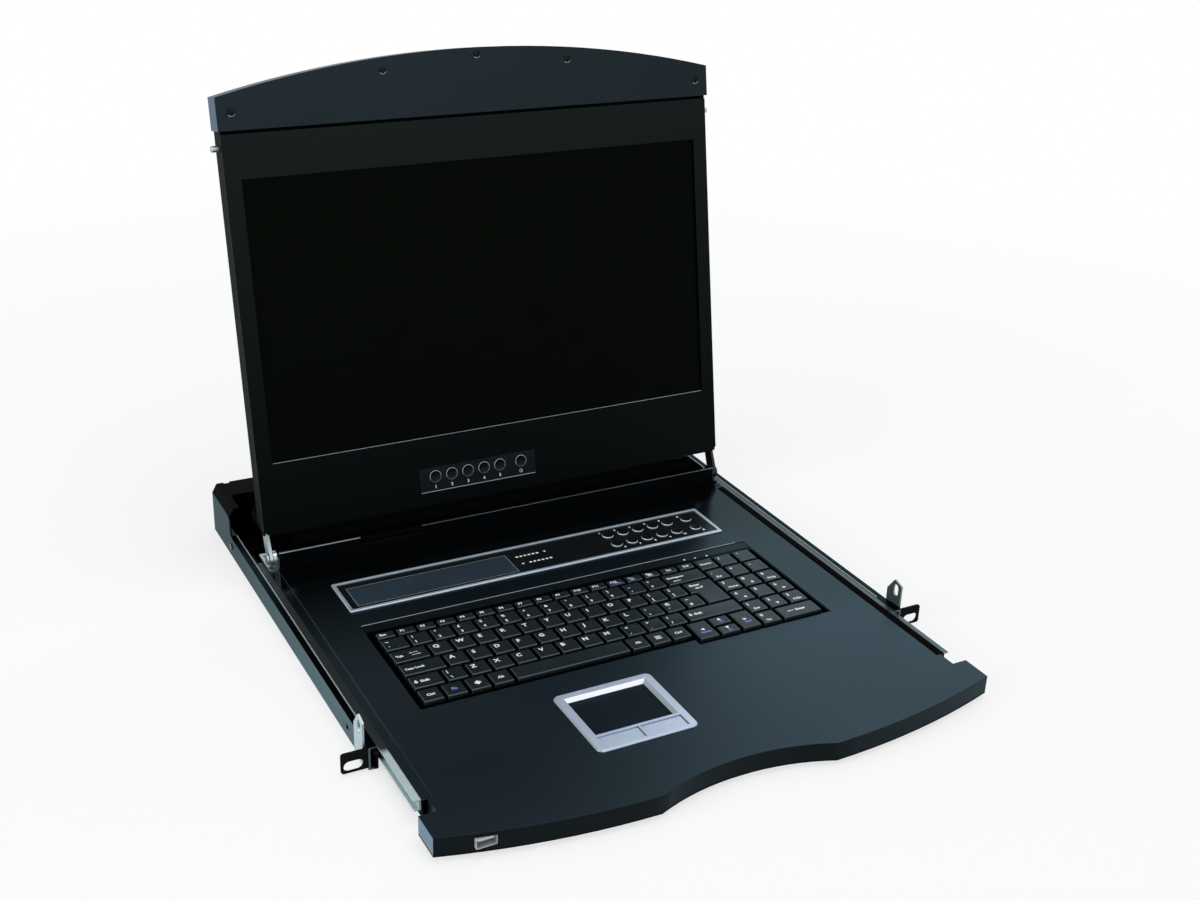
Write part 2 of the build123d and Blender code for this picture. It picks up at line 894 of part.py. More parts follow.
# Raised cover over the hinge line: a folded sheet, and the rounded bar behind its top edge
with BuildPart() as hinge_block:
    with BuildSketch(Plane.YZ.offset(-block_half)):
        with BuildLine():
            Polyline(
                (block_front, deck_top),
                (block_front, block_top),
                (block_front + block_ledge, block_top),
                (block_front + block_ledge, block_top - block_sheet),
                (block_front + block_sheet, block_top - block_sheet),
                (block_front + block_sheet, deck_top + block_sheet),
                (block_front + block_foot, deck_top + block_sheet),
                (block_front + block_foot, deck_top),
                close=True,
            )
        make_face()
    extrude(amount=2 * block_half)
    with BuildSketch(Plane.XZ.offset(-block_front)):
        with Locations((cable_guard_x, block_top)):
            Rectangle(cable_guard_width, 2 * cable_notch)
    extrude(amount=-2 * block_ledge, mode=Mode.SUBTRACT)
save(hinge_block.part, "hinge_block")

barrel_y = block_front + block_ledge + barrel_radius
with BuildPart() as hinge_bar:
    with BuildSketch(Plane.YZ.offset(-barrel_half)):
        with Locations((barrel_y, barrel_z)):
            Circle(barrel_radius)
            Circle(barrel_radius - barrel_wall, mode=Mode.SUBTRACT)
        with BuildLine():
            Polyline(
                (barrel_y - barrel_radius, barrel_z),
                (barrel_y - barrel_radius, deck_top),
                (barrel_y + barrel_radius, deck_top),
                (barrel_y + barrel_radius, barrel_z),
                (barrel_y + barrel_radius - barrel_wall, barrel_z),
                (barrel_y + barrel_radius - barrel_wall, deck_top + barrel_wall),
                (barrel_y - barrel_radius + barrel_wall, deck_top + barrel_wall),
                (barrel_y - barrel_radius + barrel_wall, barrel_z),
                close=True,
            )
        make_face()
        with Locations((barrel_y, barrel_z - barrel_radius / 2)):
            Rectangle(2 * (barrel_radius - barrel_wall), barrel_radius, mode=Mode.SUBTRACT)
    extrude(amount=2 * barrel_half)
    # Both ends are cut at a slant towards the hinges
    for side in (-1, 1):
        with BuildSketch(Plane.XZ.offset(-(barrel_y + barrel_radius))):
            with BuildLine():
                Polyline(
                    (side * barrel_half, barrel_z - barrel_cut_drop),
                    (side * barrel_half, barrel_z + barrel_radius),
                    (side * (barrel_half - barrel_cut), barrel_z + barrel_radius),
                    close=True,
                )
            make_face()
        extrude(amount=2 * barrel_radius, mode=Mode.SUBTRACT)
save(hinge_bar.part, "hinge_bar")

# Matt guard where the display cable crosses the raised cover
with BuildPart() as cable_guard:
    with BuildSketch(Plane.YZ.offset(cable_guard_x - cable_guard_width / 2)):
        with BuildLine():
            Polyline(
                (block_front, block_top - cable_notch),
                (block_front + block_ledge, block_top - cable_notch),
                (block_front + block_ledge, block_top - guard_drop),
                (block_front + guard_slope, block_top - guard_drop),
                (block_front, block_top - guard_drop - guard_slope),
                close=True,
            )
        make_face()
    extrude(amount=cable_guard_width)
save(cable_guard.part, "cable_guard")


# Hinge brackets on the drawer, with the pins that the lid's arms turn on
def hinge_bracket(side, name):
    """Upright plate with a knuckle round the pin, on a foot screwed to the deck."""
    with BuildPart() as bracket:
        with BuildSketch(Plane.YZ.offset(side * bracket_inner)):
            with Locations((hinge_y, hinge_z)):
                Circle(knuckle_radius)
            rectangle_at(hinge_y - knuckle_radius, deck_top, hinge_y + knuckle_radius, hinge_z)
            with Locations((hinge_y, hinge_z)):
                Circle(pin_radius, mode=Mode.SUBTRACT)
        extrude(amount=side * bracket_plate)
        with BuildSketch(Plane.XY.offset(deck_top)):
            foot_x = side * (bracket_inner + deck_half) / 2
            with Locations((foot_x, hinge_y + bracket_reach / 2 - knuckle_radius)):
                RectangleRounded(deck_half - bracket_inner, bracket_reach, bracket_corner)
        extrude(amount=bracket_foot)
        with BuildSketch(Plane.XY.offset(deck_top)):
            with Locations((foot_x, hinge_y + bracket_reach - knuckle_radius - bracket_hole_inset)):
                Circle(screw_shank)
        extrude(amount=bracket_foot, mode=Mode.SUBTRACT)
    save(bracket.part, name)


hinge_bracket(-1, "hinge_bracket_left")
hinge_bracket(1, "hinge_bracket_right")

with BuildPart() as hinge_pins:
    for side in (-1, 1):
        with BuildSketch(Plane.YZ.offset(side * bracket_inner)):
            with Locations((hinge_y, hinge_z)):
                Circle(pin_radius)
        extrude(amount=side * (arm_outer + pin_end - bracket_inner))
        with BuildSketch(Plane.YZ.offset(side * (arm_outer + pin_end))):
            with Locations((hinge_y, hinge_z)):
                Circle(pin_head_radius)
        extrude(amount=side * pin_head)
save(hinge_pins.part, "hinge_pins")

# Port switch strip: frame, fascia and its two rows of buttons
with BuildPart() as strip_frame:
    with BuildSketch(Plane.XY.offset(deck_top)):
        with Locations((strip_centre_x, strip_centre_y)):
            RectangleRounded(strip_width, strip_depth, strip_corner)
            Rectangle(strip_inner_width, strip_inner_depth, mode=Mode.SUBTRACT)
    extrude(amount=strip_proud)
    chamfer(strip_frame.faces().sort_by(Axis.Z)[-1].outer_wire().edges(), strip_chamfer)
save(strip_frame.part, "strip_frame")

with BuildPart() as strip_fascia:
    with BuildSketch(Plane.XY.offset(deck_top - strip_pocket)):
        with Locations((strip_centre_x, strip_centre_y)):
            Rectangle(strip_inner_width, strip_inner_depth)
        with Locations(*strip_places):
            Circle(strip_button_radius + strip_button_gap, mode=Mode.SUBTRACT)
    extrude(amount=strip_pocket + strip_fascia_rise)
save(strip_fascia.part, "strip_fascia")

for row, name in zip(strip_rows, ("strip_buttons_back", "strip_buttons_front")):
    with BuildPart() as buttons:
        with BuildSketch(Plane.XY.offset(deck_top + strip_fascia_rise + strip_button_proud)):
            with Locations(*row):
                Circle(strip_button_radius)
        extrude(amount=-strip_button_length)
        chamfer(buttons.edges().filter_by(GeomType.CIRCLE).group_by(Axis.Z)[-1], strip_button_chamfer)
    save(buttons.part, name)

# Keyboard: the field of every key, as low x, high x, low y, high y
def steps(start, pitch, count):
    """Evenly spaced positions, both ends included."""
    return [start + i * pitch for i in range(count + 1)]


def fields(edges, y_low, y_high):
    """Fields of a row of keys between neighbouring x positions."""
    return [(x_low, x_high, y_low, y_high) for x_low, x_high in zip(edges[:-1], edges[1:])]


row_y = steps(row_front, row_depth, 5)
enter_low = key_left + caps_width + 12 * key_pitch
enter_high = key_left + tab_width + 12 * key_pitch
space_left = key_left + 4 * modifier_pitch
space_right = board_dip_left + board_gap - 3 * right_modifier_pitch
arrow_left = board_dip_left + board_rim
arrow_pitch = (pad_left - arrow_left) / 3
arrow_front = board_dip + board_rim
arrow_middle = (arrow_front + row_y[1]) / 2
function_edges = steps(pad_left - 17 * function_pitch, function_pitch, 17)
number_edges = [key_left] + steps(key_left + grave_width, key_pitch, 12) + [pad_left]
lower_edges = [key_left] + steps(key_left + lshift_width, key_pitch, 11) + [pad_left]
key_fields = {
    "keys_function_row": fields(function_edges, row_y[5], row_y[5] + function_depth),
    "keys_number_row": fields(number_edges, row_y[4], row_y[5]),
    "keys_upper_row": fields([key_left] + steps(key_left + tab_width, key_pitch, 12), row_y[3], row_y[4]),
    "keys_home_row": fields([key_left] + steps(key_left + caps_width, key_pitch, 12), row_y[2], row_y[3]),
    "keys_lower_row": fields(lower_edges, row_y[1], row_y[2]),
    "keys_bottom_row": fields(steps(key_left, modifier_pitch, 4), row_y[0], row_y[1])
    + fields(steps(space_right, right_modifier_pitch, 3), row_y[0], row_y[1]),
    "space_bar": fields([space_left, space_right], row_y[0], row_y[1]),
    "enter_key": [(enter_low, pad_left, row_y[2], row_y[4])],
    "arrow_keys": [
        (arrow_left, arrow_left + arrow_pitch, arrow_front, row_y[1]),
        (arrow_left + arrow_pitch, arrow_left + 2 * arrow_pitch, arrow_front, arrow_middle),
        (arrow_left + arrow_pitch, arrow_left + 2 * arrow_pitch, arrow_middle, row_y[1]),
        (arrow_left + 2 * arrow_pitch, pad_left, arrow_front, row_y[1]),
    ],
    "number_pad": [],
}
for i in range(pad_rows):
    pad_edges = steps(pad_left, pad_pitch, 3)
    if i == 0:
        del pad_edges[2]
    key_fields["number_pad"] += fields(pad_edges, pad_front + i * pad_row, pad_front + (i + 1) * pad_row)

board_low = deck_top - board_drop
key_base = board_low + board_sheet + key_float
key_top = deck_top + key_top_rise


def key(x_low, x_high, y_low, y_high):
    """One key cap with its guide stem. Its foot is a little larger than its top."""
    middle = ((x_low + x_high) / 2, (y_low + y_high) / 2)
    with BuildPart() as cap:
        with BuildSketch(Plane.XY.offset(key_base)):
            with Locations(middle):
                Rectangle(x_high - x_low - key_gap, y_high - y_low - key_gap)
        extrude(amount=key_top - key_base, taper=key_slant)
        with BuildSketch(Plane.XY.offset(board_low)):
            with Locations(middle):
                Rectangle(key_stem, key_stem)
        extrude(amount=key_base - board_low)
    return cap.part


for name, row in key_fields.items():
    with BuildPart() as caps:
        for field in row:
            add(key(*field))
        # The two-row enter key also reaches left over its upper row
        if name == "enter_key":
            with BuildSketch(Plane.XY.offset(key_base)):
                with Locations(((enter_high + pad_left) / 2, (row_y[3] + row_y[4]) / 2)):
                    Rectangle(pad_left - enter_high - key_gap, row_depth - key_gap)
            extrude(amount=key_top - key_base, taper=key_slant)
    save(caps.part, name)

# Keyboard base: a plate with guide holes for the stems, a rim and a land behind the keys
stems = [((f[0] + f[1]) / 2, (f[2] + f[3]) / 2) for row in key_fields.values() for f in row]
with BuildPart() as keyboard_base:
    with BuildSketch(Plane.XY.offset(board_low)):
        add(board_outline(0))
        with Locations(*stems):
            Rectangle(key_stem + 2 * stem_gap, key_stem + 2 * stem_gap, mode=Mode.SUBTRACT)
    extrude(amount=board_sheet)
    with BuildSketch(Plane.XY.offset(board_low)):
        rectangle_at(board_left, board_back - strip_land, board_right, board_back)
    extrude(amount=board_drop - board_gap)
    with BuildSketch(Plane.XY.offset(board_low)):
        add(board_outline(0))
        add(board_outline(board_rim), mode=Mode.SUBTRACT)
    extrude(amount=board_drop - board_gap)
    # Feet on the tray floor, along the land
    with BuildSketch(Plane.XY.offset(tray_low + tray_sheet)):
        with GridLocations(board_right - board_left - strip_land, 1.0, 2, 1):
            with Locations(((board_left + board_right) / 2, board_back - strip_land / 2)):
                Circle(foot_radius)
        with Locations((board_left + strip_land, board_front), (board_right - strip_land, board_dip)):
            with Locations((0, board_rim + foot_radius)):
                Circle(foot_radius)
    extrude(amount=board_low - tray_low - tray_sheet)
save(keyboard_base.part, "keyboard_base")

# Touchpad: dished silver frame, dark pad and two buttons
pad_window_y = touch_y + touch_window_shift
touch_button_step = (touch_button_width + touch_button_split) / 2
touch_button_places = [(touch_x + side * touch_button_step, touch_button_y) for side in (-1, 1)]
with BuildPart() as touch_frame:
    with BuildSketch(Plane.XY.offset(deck_top)):
        with Locations((touch_x, touch_y)):
            RectangleRounded(touch_width, touch_depth, touch_corner)
    extrude(amount=touch_proud)
    chamfer(touch_frame.faces().sort_by(Axis.Z)[-1].outer_wire().edges(), touch_chamfer)
    with BuildSketch(Plane.XY.offset(deck_top - touch_sunk)):
        with Locations((touch_x, touch_y)):
            Rectangle(touch_width - 2 * touch_ledge, touch_depth - 2 * touch_ledge)
    extrude(amount=touch_sunk)
    # Window with sloping walls down to the pad
    with BuildSketch(Plane.XY.offset(deck_top + touch_proud)):
        with Locations((touch_x, pad_window_y)):
            Rectangle(touch_window_width, touch_window_depth)
    extrude(amount=-(touch_proud + touch_sunk), taper=touch_slope, mode=Mode.SUBTRACT)
    with BuildSketch(Plane.XY.offset(deck_top + touch_proud)):
        with Locations(*touch_button_places):
            Rectangle(touch_button_width + 2 * touch_button_gap, touch_button_depth + 2 * touch_button_gap)
    extrude(amount=-(touch_proud + touch_sunk), mode=Mode.SUBTRACT)
save(touch_frame.part, "touchpad_frame")

with BuildPart() as touch_pad:
    with BuildSketch(Plane.XY.offset(deck_top - touch_sunk)):
        with Locations((touch_x, touch_y)):
            Rectangle(touch_width - 2 * touch_ledge, touch_depth - 2 * touch_ledge)
        with Locations(*touch_button_places):
            clear_width = touch_button_width + 2 * touch_pad_margin
            clear_depth = touch_button_depth + 2 * touch_pad_margin
            Rectangle(clear_width, clear_depth, mode=Mode.SUBTRACT)
    extrude(amount=-touch_pad_sheet)
save(touch_pad.part, "touchpad_surface")

for place, name in zip(touch_button_places, ("touchpad_button_left", "touchpad_button_right")):
    with BuildPart() as button:
        with BuildSketch(Plane.XY.offset(deck_top + touch_button_proud)):
            with Locations(place):
                RectangleRounded(touch_button_width, touch_button_depth, touch_button_corner)
        extrude(amount=-touch_button_length)
        chamfer(button.faces().sort_by(Axis.Z)[-1].edges(), touch_button_chamfer)
    save(button.part, name)


# Lid: bezel with the screen opening and round button holes
def lid_outline(top):
    """Front view of the lid below a height, with its lower corners clipped."""
    with BuildSketch() as plan:
        with BuildLine():
            Polyline(
                (-lid_half + bezel_clip, 0),
                (lid_half - bezel_clip, 0),
                (lid_half, bezel_clip),
                (lid_half, top),
                (-lid_half, top),
                (-lid_half, bezel_clip),
                close=True,
            )
        make_face()
    return plan.sketch


lid_top = seam_rise + cap_overlap
osd_places = [(osd_first + i * osd_pitch, osd_button_rise) for i in range(osd_count)]
osd_power_place = (osd_power, osd_button_rise)
screen_middle = screen_rise + screen_height / 2
with BuildPart() as bezel:
    with BuildSketch(lid_plane(bezel_sheet)):
        add(lid_outline(lid_top))
        with Locations((0, screen_middle)):
            Rectangle(screen_width, screen_height, mode=Mode.SUBTRACT)
        with Locations(*osd_places, osd_power_place):
            Circle(osd_button_radius + osd_button_gap, mode=Mode.SUBTRACT)
    extrude(amount=bezel_sheet)
    # Shallow groove under the cap's lower edge
    with BuildSketch(lid_plane()):
        rectangle_at(-lid_half, seam_rise - seam_groove, lid_half, seam_rise)
    extrude(amount=-seam_groove_depth, mode=Mode.SUBTRACT)
save(bezel.part, "lid_bezel")

# Back cover: a shallow shell with a sloping lower wall, slots for the hinge arms and latch holes
with BuildPart() as back_cover:
    with BuildSketch(lid_side(-lid_half)):
        with BuildLine():
            Polyline(
                (bezel_sheet, 0),
                (bezel_sheet, lid_top),
                (lid_thickness, lid_top),
                (lid_thickness, lid_slope),
                (lid_foot, 0),
                close=True,
            )
        make_face()
    extrude(amount=2 * lid_half)
    with BuildSketch(lid_side(-lid_half + lid_wall)):
        with BuildLine():
            Polyline(
                (bezel_sheet, lid_wall),
                (bezel_sheet, lid_top),
                (lid_thickness - lid_wall, lid_top),
                (lid_thickness - lid_wall, lid_slope + lid_wall / 2),
                (lid_foot, lid_wall),
                close=True,
            )
        make_face()
    extrude(amount=2 * (lid_half - lid_wall), mode=Mode.SUBTRACT)
    for side in (-1, 1):
        with BuildSketch(lid_side(side * (arm_inner - arm_gap))):
            rectangle_at(bezel_sheet, -lid_wall, arm_back + arm_gap, lid_slope + 2 * lid_wall)
        extrude(amount=side * (arm_plate + 2 * arm_gap), mode=Mode.SUBTRACT)
    with BuildSketch(lid_side(-lid_half)):
        with Locations((lid_thickness / 2, latch_rise)):
            Circle(latch_radius + running_gap)
    extrude(amount=2 * lid_half, mode=Mode.SUBTRACT)
save(back_cover.part, "lid_back_cover")

# Screen panel behind the bezel
with BuildPart() as screen:
    with BuildSketch(lid_plane(bezel_sheet)):
        with Locations((0, screen_middle)):
            Rectangle(screen_width + 2 * panel_margin, screen_height + 2 * panel_margin)
    extrude(amount=-panel_thickness)
save(screen.part, "lcd_panel")

# Arched cap over the lid's top edge
cap_half = lid_half + cap_wall
cap_screw_places = [(0, seam_rise + cap_screw_high)]
for across, rise in ((cap_screw_across, cap_screw_middle), (lid_half - cap_screw_inset, cap_screw_low)):
    cap_screw_places += [(-across, seam_rise + rise), (across, seam_rise + rise)]


def cap_outline(inset):
    """Front view of the arched cap, drawn inwards by a wall."""
    half = cap_half - inset
    with BuildSketch() as plan:
        with BuildLine():
            Line((-half, seam_rise), (half, seam_rise))
            Line((half, seam_rise), (half, cap_corner_rise - inset))
            ThreePointArc(
                (half, cap_corner_rise - inset),
                (0, cap_apex_rise - inset),
                (-half, cap_corner_rise - inset),
            )
            Line((-half, cap_corner_rise - inset), (-half, seam_rise))
        make_face()
    return plan.sketch


with BuildPart() as cap:
    with BuildSketch(lid_plane(-cap_wall)):
        add(cap_outline(0))
    extrude(amount=-(lid_thickness + 2 * cap_wall))
    with BuildSketch(lid_plane()):
        add(cap_outline(cap_wall))
    extrude(amount=-lid_thickness, mode=Mode.SUBTRACT)
    with BuildSketch(lid_plane()):
        with Locations(*cap_screw_places):
            Circle(screw_shank)
    extrude(amount=cap_wall, mode=Mode.SUBTRACT)
save(cap.part, "lid_cap")

with BuildPart() as cap_screws:
    with BuildSketch(lid_plane(-cap_wall)):
        with Locations(*cap_screw_places):
            Circle(screw_head)
    extrude(amount=screw_proud)
    with BuildSketch(lid_plane(-cap_wall)):
        with Locations(*cap_screw_places):
            Circle(screw_shank)
    extrude(amount=-screw_length)
save(cap_screws.part, "cap_screws")

# Strip under the screen, and its buttons
with BuildPart() as osd_strip:
    with BuildSketch(lid_plane()):
        rectangle_at(osd_left, osd_low, osd_right, osd_high)
        with Locations(*osd_places, osd_power_place):
            Circle(osd_button_radius + osd_button_gap, mode=Mode.SUBTRACT)
    extrude(amount=osd_sheet)
save(osd_strip.part, "menu_strip")

for places, name in ((osd_places, "menu_buttons"), ([osd_power_place], "power_button")):
    with BuildPart() as buttons:
        with BuildSketch(lid_plane(-(osd_sheet + osd_button_proud))):
            with Locations(*places):
                Circle(osd_button_radius)
        extrude(amount=-osd_button_length)
        with BuildSketch(lid_plane(-(osd_sheet + osd_button_proud))):
            with Locations(*places):
                Circle(osd_button_radius - osd_dish_rim)
        extrude(amount=-osd_dish_depth, mode=Mode.SUBTRACT)
    save(buttons.part, name)

# Hinge arms: a knuckle round the pin and a plate that runs up inside the lid
with BuildPart() as hinge_arms:
    for side in (-1, 1):
        with BuildSketch(lid_side(side * arm_inner)):
            with Locations((lid_front_offset, -lid_rise)):
                Circle(knuckle_radius)
            with BuildLine():
                Polyline(
                    (lid_front_offset - knuckle_radius, -lid_rise),
                    (lid_front_offset + knuckle_radius, -lid_rise),
                    (arm_back, -arm_neck),
                    (arm_back, arm_rise),
                    (bezel_sheet, arm_rise),
                    (bezel_sheet, -arm_shoulder),
                    close=True,
                )
            make_face()
            with Locations((lid_front_offset, -lid_rise)):
                Circle(pin_radius + pin_fit, mode=Mode.SUBTRACT)
        extrude(amount=side * arm_plate)
save(hinge_arms.part, "hinge_arms")

# Latch pins at the lid's sides
for side, name in ((-1, "latch_pin_left"), (1, "latch_pin_right")):
    with BuildPart() as latch:
        with BuildSketch(lid_side(side * latch_reach)):
            with Locations((lid_thickness / 2, latch_rise)):
                Circle(latch_radius)
        extrude(amount=-side * latch_length)
        tip = latch.edges().filter_by(GeomType.CIRCLE).group_by(Axis.X)[-1 if side > 0 else 0]
        chamfer(tip, latch_chamfer)
    save(latch.part, name)
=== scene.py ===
# %% [markdown]
# # A rackmount LCD console drawer
# The real object is a shallow steel chassis, one rack unit high. A drawer with a keyboard, a touchpad
# and a row of port buttons slides out of it, and a lid with a screen turns up at the drawer's tail.
# The steel parts come from the packed CAD model, which fixes every size. This notebook gives them
# their finishes and adds what a CAD model leaves out: rounded key caps, printed legends and small trim.

# %% Load the frame
import json
from math import cos, pi, radians, sin

import bmesh
import bpy
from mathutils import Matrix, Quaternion, Vector


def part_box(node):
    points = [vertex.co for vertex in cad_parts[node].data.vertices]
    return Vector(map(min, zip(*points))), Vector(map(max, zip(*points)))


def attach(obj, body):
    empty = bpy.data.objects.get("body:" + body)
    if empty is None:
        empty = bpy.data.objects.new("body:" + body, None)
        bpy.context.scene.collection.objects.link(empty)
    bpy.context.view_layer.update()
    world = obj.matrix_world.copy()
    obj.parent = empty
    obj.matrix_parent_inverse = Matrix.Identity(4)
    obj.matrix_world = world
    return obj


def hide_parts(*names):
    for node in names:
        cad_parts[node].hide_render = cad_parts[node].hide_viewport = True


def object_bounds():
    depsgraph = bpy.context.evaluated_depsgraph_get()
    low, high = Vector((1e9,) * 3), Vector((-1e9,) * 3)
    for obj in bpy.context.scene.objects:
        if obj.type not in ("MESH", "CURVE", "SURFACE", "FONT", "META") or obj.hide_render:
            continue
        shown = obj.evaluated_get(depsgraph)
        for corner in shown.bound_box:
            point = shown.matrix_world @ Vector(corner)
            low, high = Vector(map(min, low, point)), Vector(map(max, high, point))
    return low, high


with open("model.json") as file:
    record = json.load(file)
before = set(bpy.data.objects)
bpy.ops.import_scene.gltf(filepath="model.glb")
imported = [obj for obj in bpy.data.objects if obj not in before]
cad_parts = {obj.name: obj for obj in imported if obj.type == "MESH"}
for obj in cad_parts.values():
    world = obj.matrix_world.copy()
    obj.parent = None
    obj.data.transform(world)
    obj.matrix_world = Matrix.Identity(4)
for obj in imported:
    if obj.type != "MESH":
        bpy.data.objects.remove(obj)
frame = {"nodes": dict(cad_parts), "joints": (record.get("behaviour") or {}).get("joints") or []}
cad_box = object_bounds()
nodes = frame["nodes"]
MM = 0.001
print("CAD nodes:", len(nodes), "box:", [tuple(round(c, 4) for c in corner) for corner in cad_box])

# %% [markdown]
# ## The camera
# A camera fitted to the picture stands front left of the drawer and looks down at about 24 degrees.
# It could be placed by eye, but a fit to known corners keeps every edge where the picture has it. It
# is built first, because every later choice of detail depends on what it sees. A quaternion that
# tracks the target gives the aim, and a small turn about the line of sight gives the picture's tilt.

# %% Camera
camera_data = bpy.data.cameras.new("camera")
camera_data.lens = 46.75
camera_data.sensor_width = 36.0
camera = bpy.data.objects.new("camera", camera_data)
bpy.context.scene.collection.objects.link(camera)
camera.location = (-0.50715, -0.82707, 0.62539)
aim = Vector((0.08032, 0.24699, 0.07181)) - camera.location
camera.rotation_mode = "QUATERNION"
camera.rotation_quaternion = aim.to_track_quat("-Z", "Y") @ Quaternion((0, 0, 1), radians(2.2))
bpy.context.scene.camera = camera
print("camera distance:", round(aim.length, 3), "m")

# %% [markdown]
# ## Shader sums as Python
# A finish is a network of nodes, but most of it is plain arithmetic. It could be wired node by node,
# which is long and hard to read. Here one small class wraps a socket and answers to +, - and *, also
# with a plain number on the left, so that a sum in Python adds the Math nodes.


# %% Wire
class Wire:
    """A shader socket that can stand in a Python sum."""

    def __init__(self, finish, socket):
        self.finish = finish
        self.socket = socket

    def _sum(self, operation, left, right):
        return self.finish.node("ShaderNodeMath", {"operation": operation}, {0: left, 1: right})

    def __add__(self, other):
        return self._sum("ADD", self, other)

    def __radd__(self, other):
        return self._sum("ADD", other, self)

    def __sub__(self, other):
        return self._sum("SUBTRACT", self, other)

    def __rsub__(self, other):
        return self._sum("SUBTRACT", other, self)

    def __mul__(self, other):
        return self._sum("MULTIPLY", self, other)

    def __rmul__(self, other):
        return self._sum("MULTIPLY", other, self)


print("a wire answers to + - *")

# %% [markdown]
# ## One method for every other node
# Noise, mixes and ramps all come from one method. It sets a node's own settings first and then its
# sockets, because a setting can change which sockets there are.


# %% Finish
class Finish:
    """A material, or the world, whose node tree is written from Python."""

    def __init__(self, owner):
        owner.use_nodes = True
        self.owner = owner
        self.tree = owner.node_tree
        self.tree.nodes.clear()

    def node(self, kind, settings=None, sockets=None, out=0):
        """Add one node: its settings first, then the values or links of its sockets."""
        made = self.tree.nodes.new(kind)
        for name, value in (settings or {}).items():
            setattr(made, name, value)
        for name, value in (sockets or {}).items():
            if isinstance(value, Wire):
                self.tree.links.new(value.socket, made.inputs[name])
            else:
                made.inputs[name].default_value = value
        return Wire(self, made.outputs[out])

    def place(self):
        """Where a point of the piece is, in metres, riding with the piece."""
        return self.node("ShaderNodeTexCoord", out="Object")

    def noise(self, scale, detail=2.0, stretch=None):
        """Grain of a given number of cells per metre, stretched along an axis if wanted."""
        where = self.place()
        if stretch:
            where = self.node("ShaderNodeMapping", {}, {"Vector": where, "Scale": stretch})
        return self.node("ShaderNodeTexNoise", {}, {"Vector": where, "Scale": scale, "Detail": detail})

    def mix(self, factor, low, high):
        """A colour between two colours."""
        sockets = {"Factor": factor, 6: (*low, 1.0) if isinstance(low, tuple) else low}
        sockets[7] = (*high, 1.0) if isinstance(high, tuple) else high
        return self.node("ShaderNodeMix", {"data_type": "RGBA"}, sockets, out=2)

    def facing(self, axis="Z"):
        """How far a face looks along an axis of the piece, from -1 to 1."""
        normal = self.node("ShaderNodeTexCoord", out="Normal")
        return self.node("ShaderNodeSeparateXYZ", {}, {0: normal}, out=axis)

    def along(self, axis):
        """How far along an axis a point of the piece is, in metres."""
        return self.node("ShaderNodeSeparateXYZ", {}, {0: self.place()}, out=axis)

    def rise(self, value, start, end):
        """0 up to the start, 1 from the end on, and a ramp between them. The end may be the lower one."""
        sockets = {"Value": value, "From Min": start, "From Max": end}
        return self.node("ShaderNodeMapRange", {"clamp": True}, sockets)

    def size_of(self, value):
        """A value without its sign."""
        return self.node("ShaderNodeMath", {"operation": "ABSOLUTE"}, {0: value})

    def bump(self, height, depth):
        """A normal from a height between 0 and 1, with its depth in metres."""
        return self.node("ShaderNodeBump", {}, {"Height": height, "Distance": depth, "Strength": 1.0})

    def surface(self, **sockets):
        """The shader that ends the tree."""
        names = {name.replace("_", " "): value for name, value in sockets.items()}
        shader = self.node("ShaderNodeBsdfPrincipled", {}, names, out="BSDF")
        self.node_out(shader)
        return self.owner

    def node_out(self, shader):
        end = self.tree.nodes.new("ShaderNodeOutputMaterial")
        self.tree.links.new(shader.socket, end.inputs["Surface"])


print("helpers of a finish:", [name for name in vars(Finish) if not name.startswith("_")])

# %% [markdown]
# ## Black powder coat
# The steel is sprayed with a fine black powder and baked. It scatters almost no light, and all that
# shows is a soft, cold mirror image of the room. A metal with a very dark colour behaves like that:
# its colour is its mirror strength face on, and the edge tint sets how blue it turns at low angles.
# Two noises vary it: a fine one for the baked grain and a broad one for the film's uneven sheen.


# %% Powder coat
def powder_coat(name, colour, roughness, grain, edge, metallic=0.9, shade=None, gloss=None):
    """Baked powder on steel. A shade paints light and shade into its colour over the piece, and a gloss makes
    it smoother.
    """
    finish = Finish(bpy.data.materials.new(name))
    fine = finish.noise(1400.0, 2.0)
    broad = finish.noise(9.0, 3.0)
    lighter = tuple(c * 1.3 for c in colour)
    film = finish.mix(broad * 0.7 + fine * 0.3, colour, lighter)
    if shade:
        film = shade(finish, film)
    rough = broad * 0.08 + fine * 0.05 + roughness
    if gloss:
        rough = rough - gloss(finish)
    return finish.surface(
        Base_Color=film,
        Metallic=metallic,
        Roughness=rough,
        Specular_Tint=(*edge, 1.0),
        Specular_IOR_Level=0.3,
        Normal=finish.bump(fine, grain * MM),
    )


block_coat = powder_coat("block_powder_coat", (0.004, 0.006, 0.007), 0.3, 0.02, (0.5, 0.58, 0.62))
chassis_coat = powder_coat("chassis_powder_coat", (0.0058, 0.0068, 0.0060), 0.34, 0.03, (0.38, 0.41, 0.38))
rail_coat = powder_coat("rail_black_oxide", (0.010, 0.012, 0.012), 0.34, 0.01, (0.3, 0.34, 0.35))
bar_coat = powder_coat("hinge_bar_paint", (0.0008, 0.001, 0.001), 0.6, 0.02, (0.1, 0.1, 0.1))
print("even coats: 4")
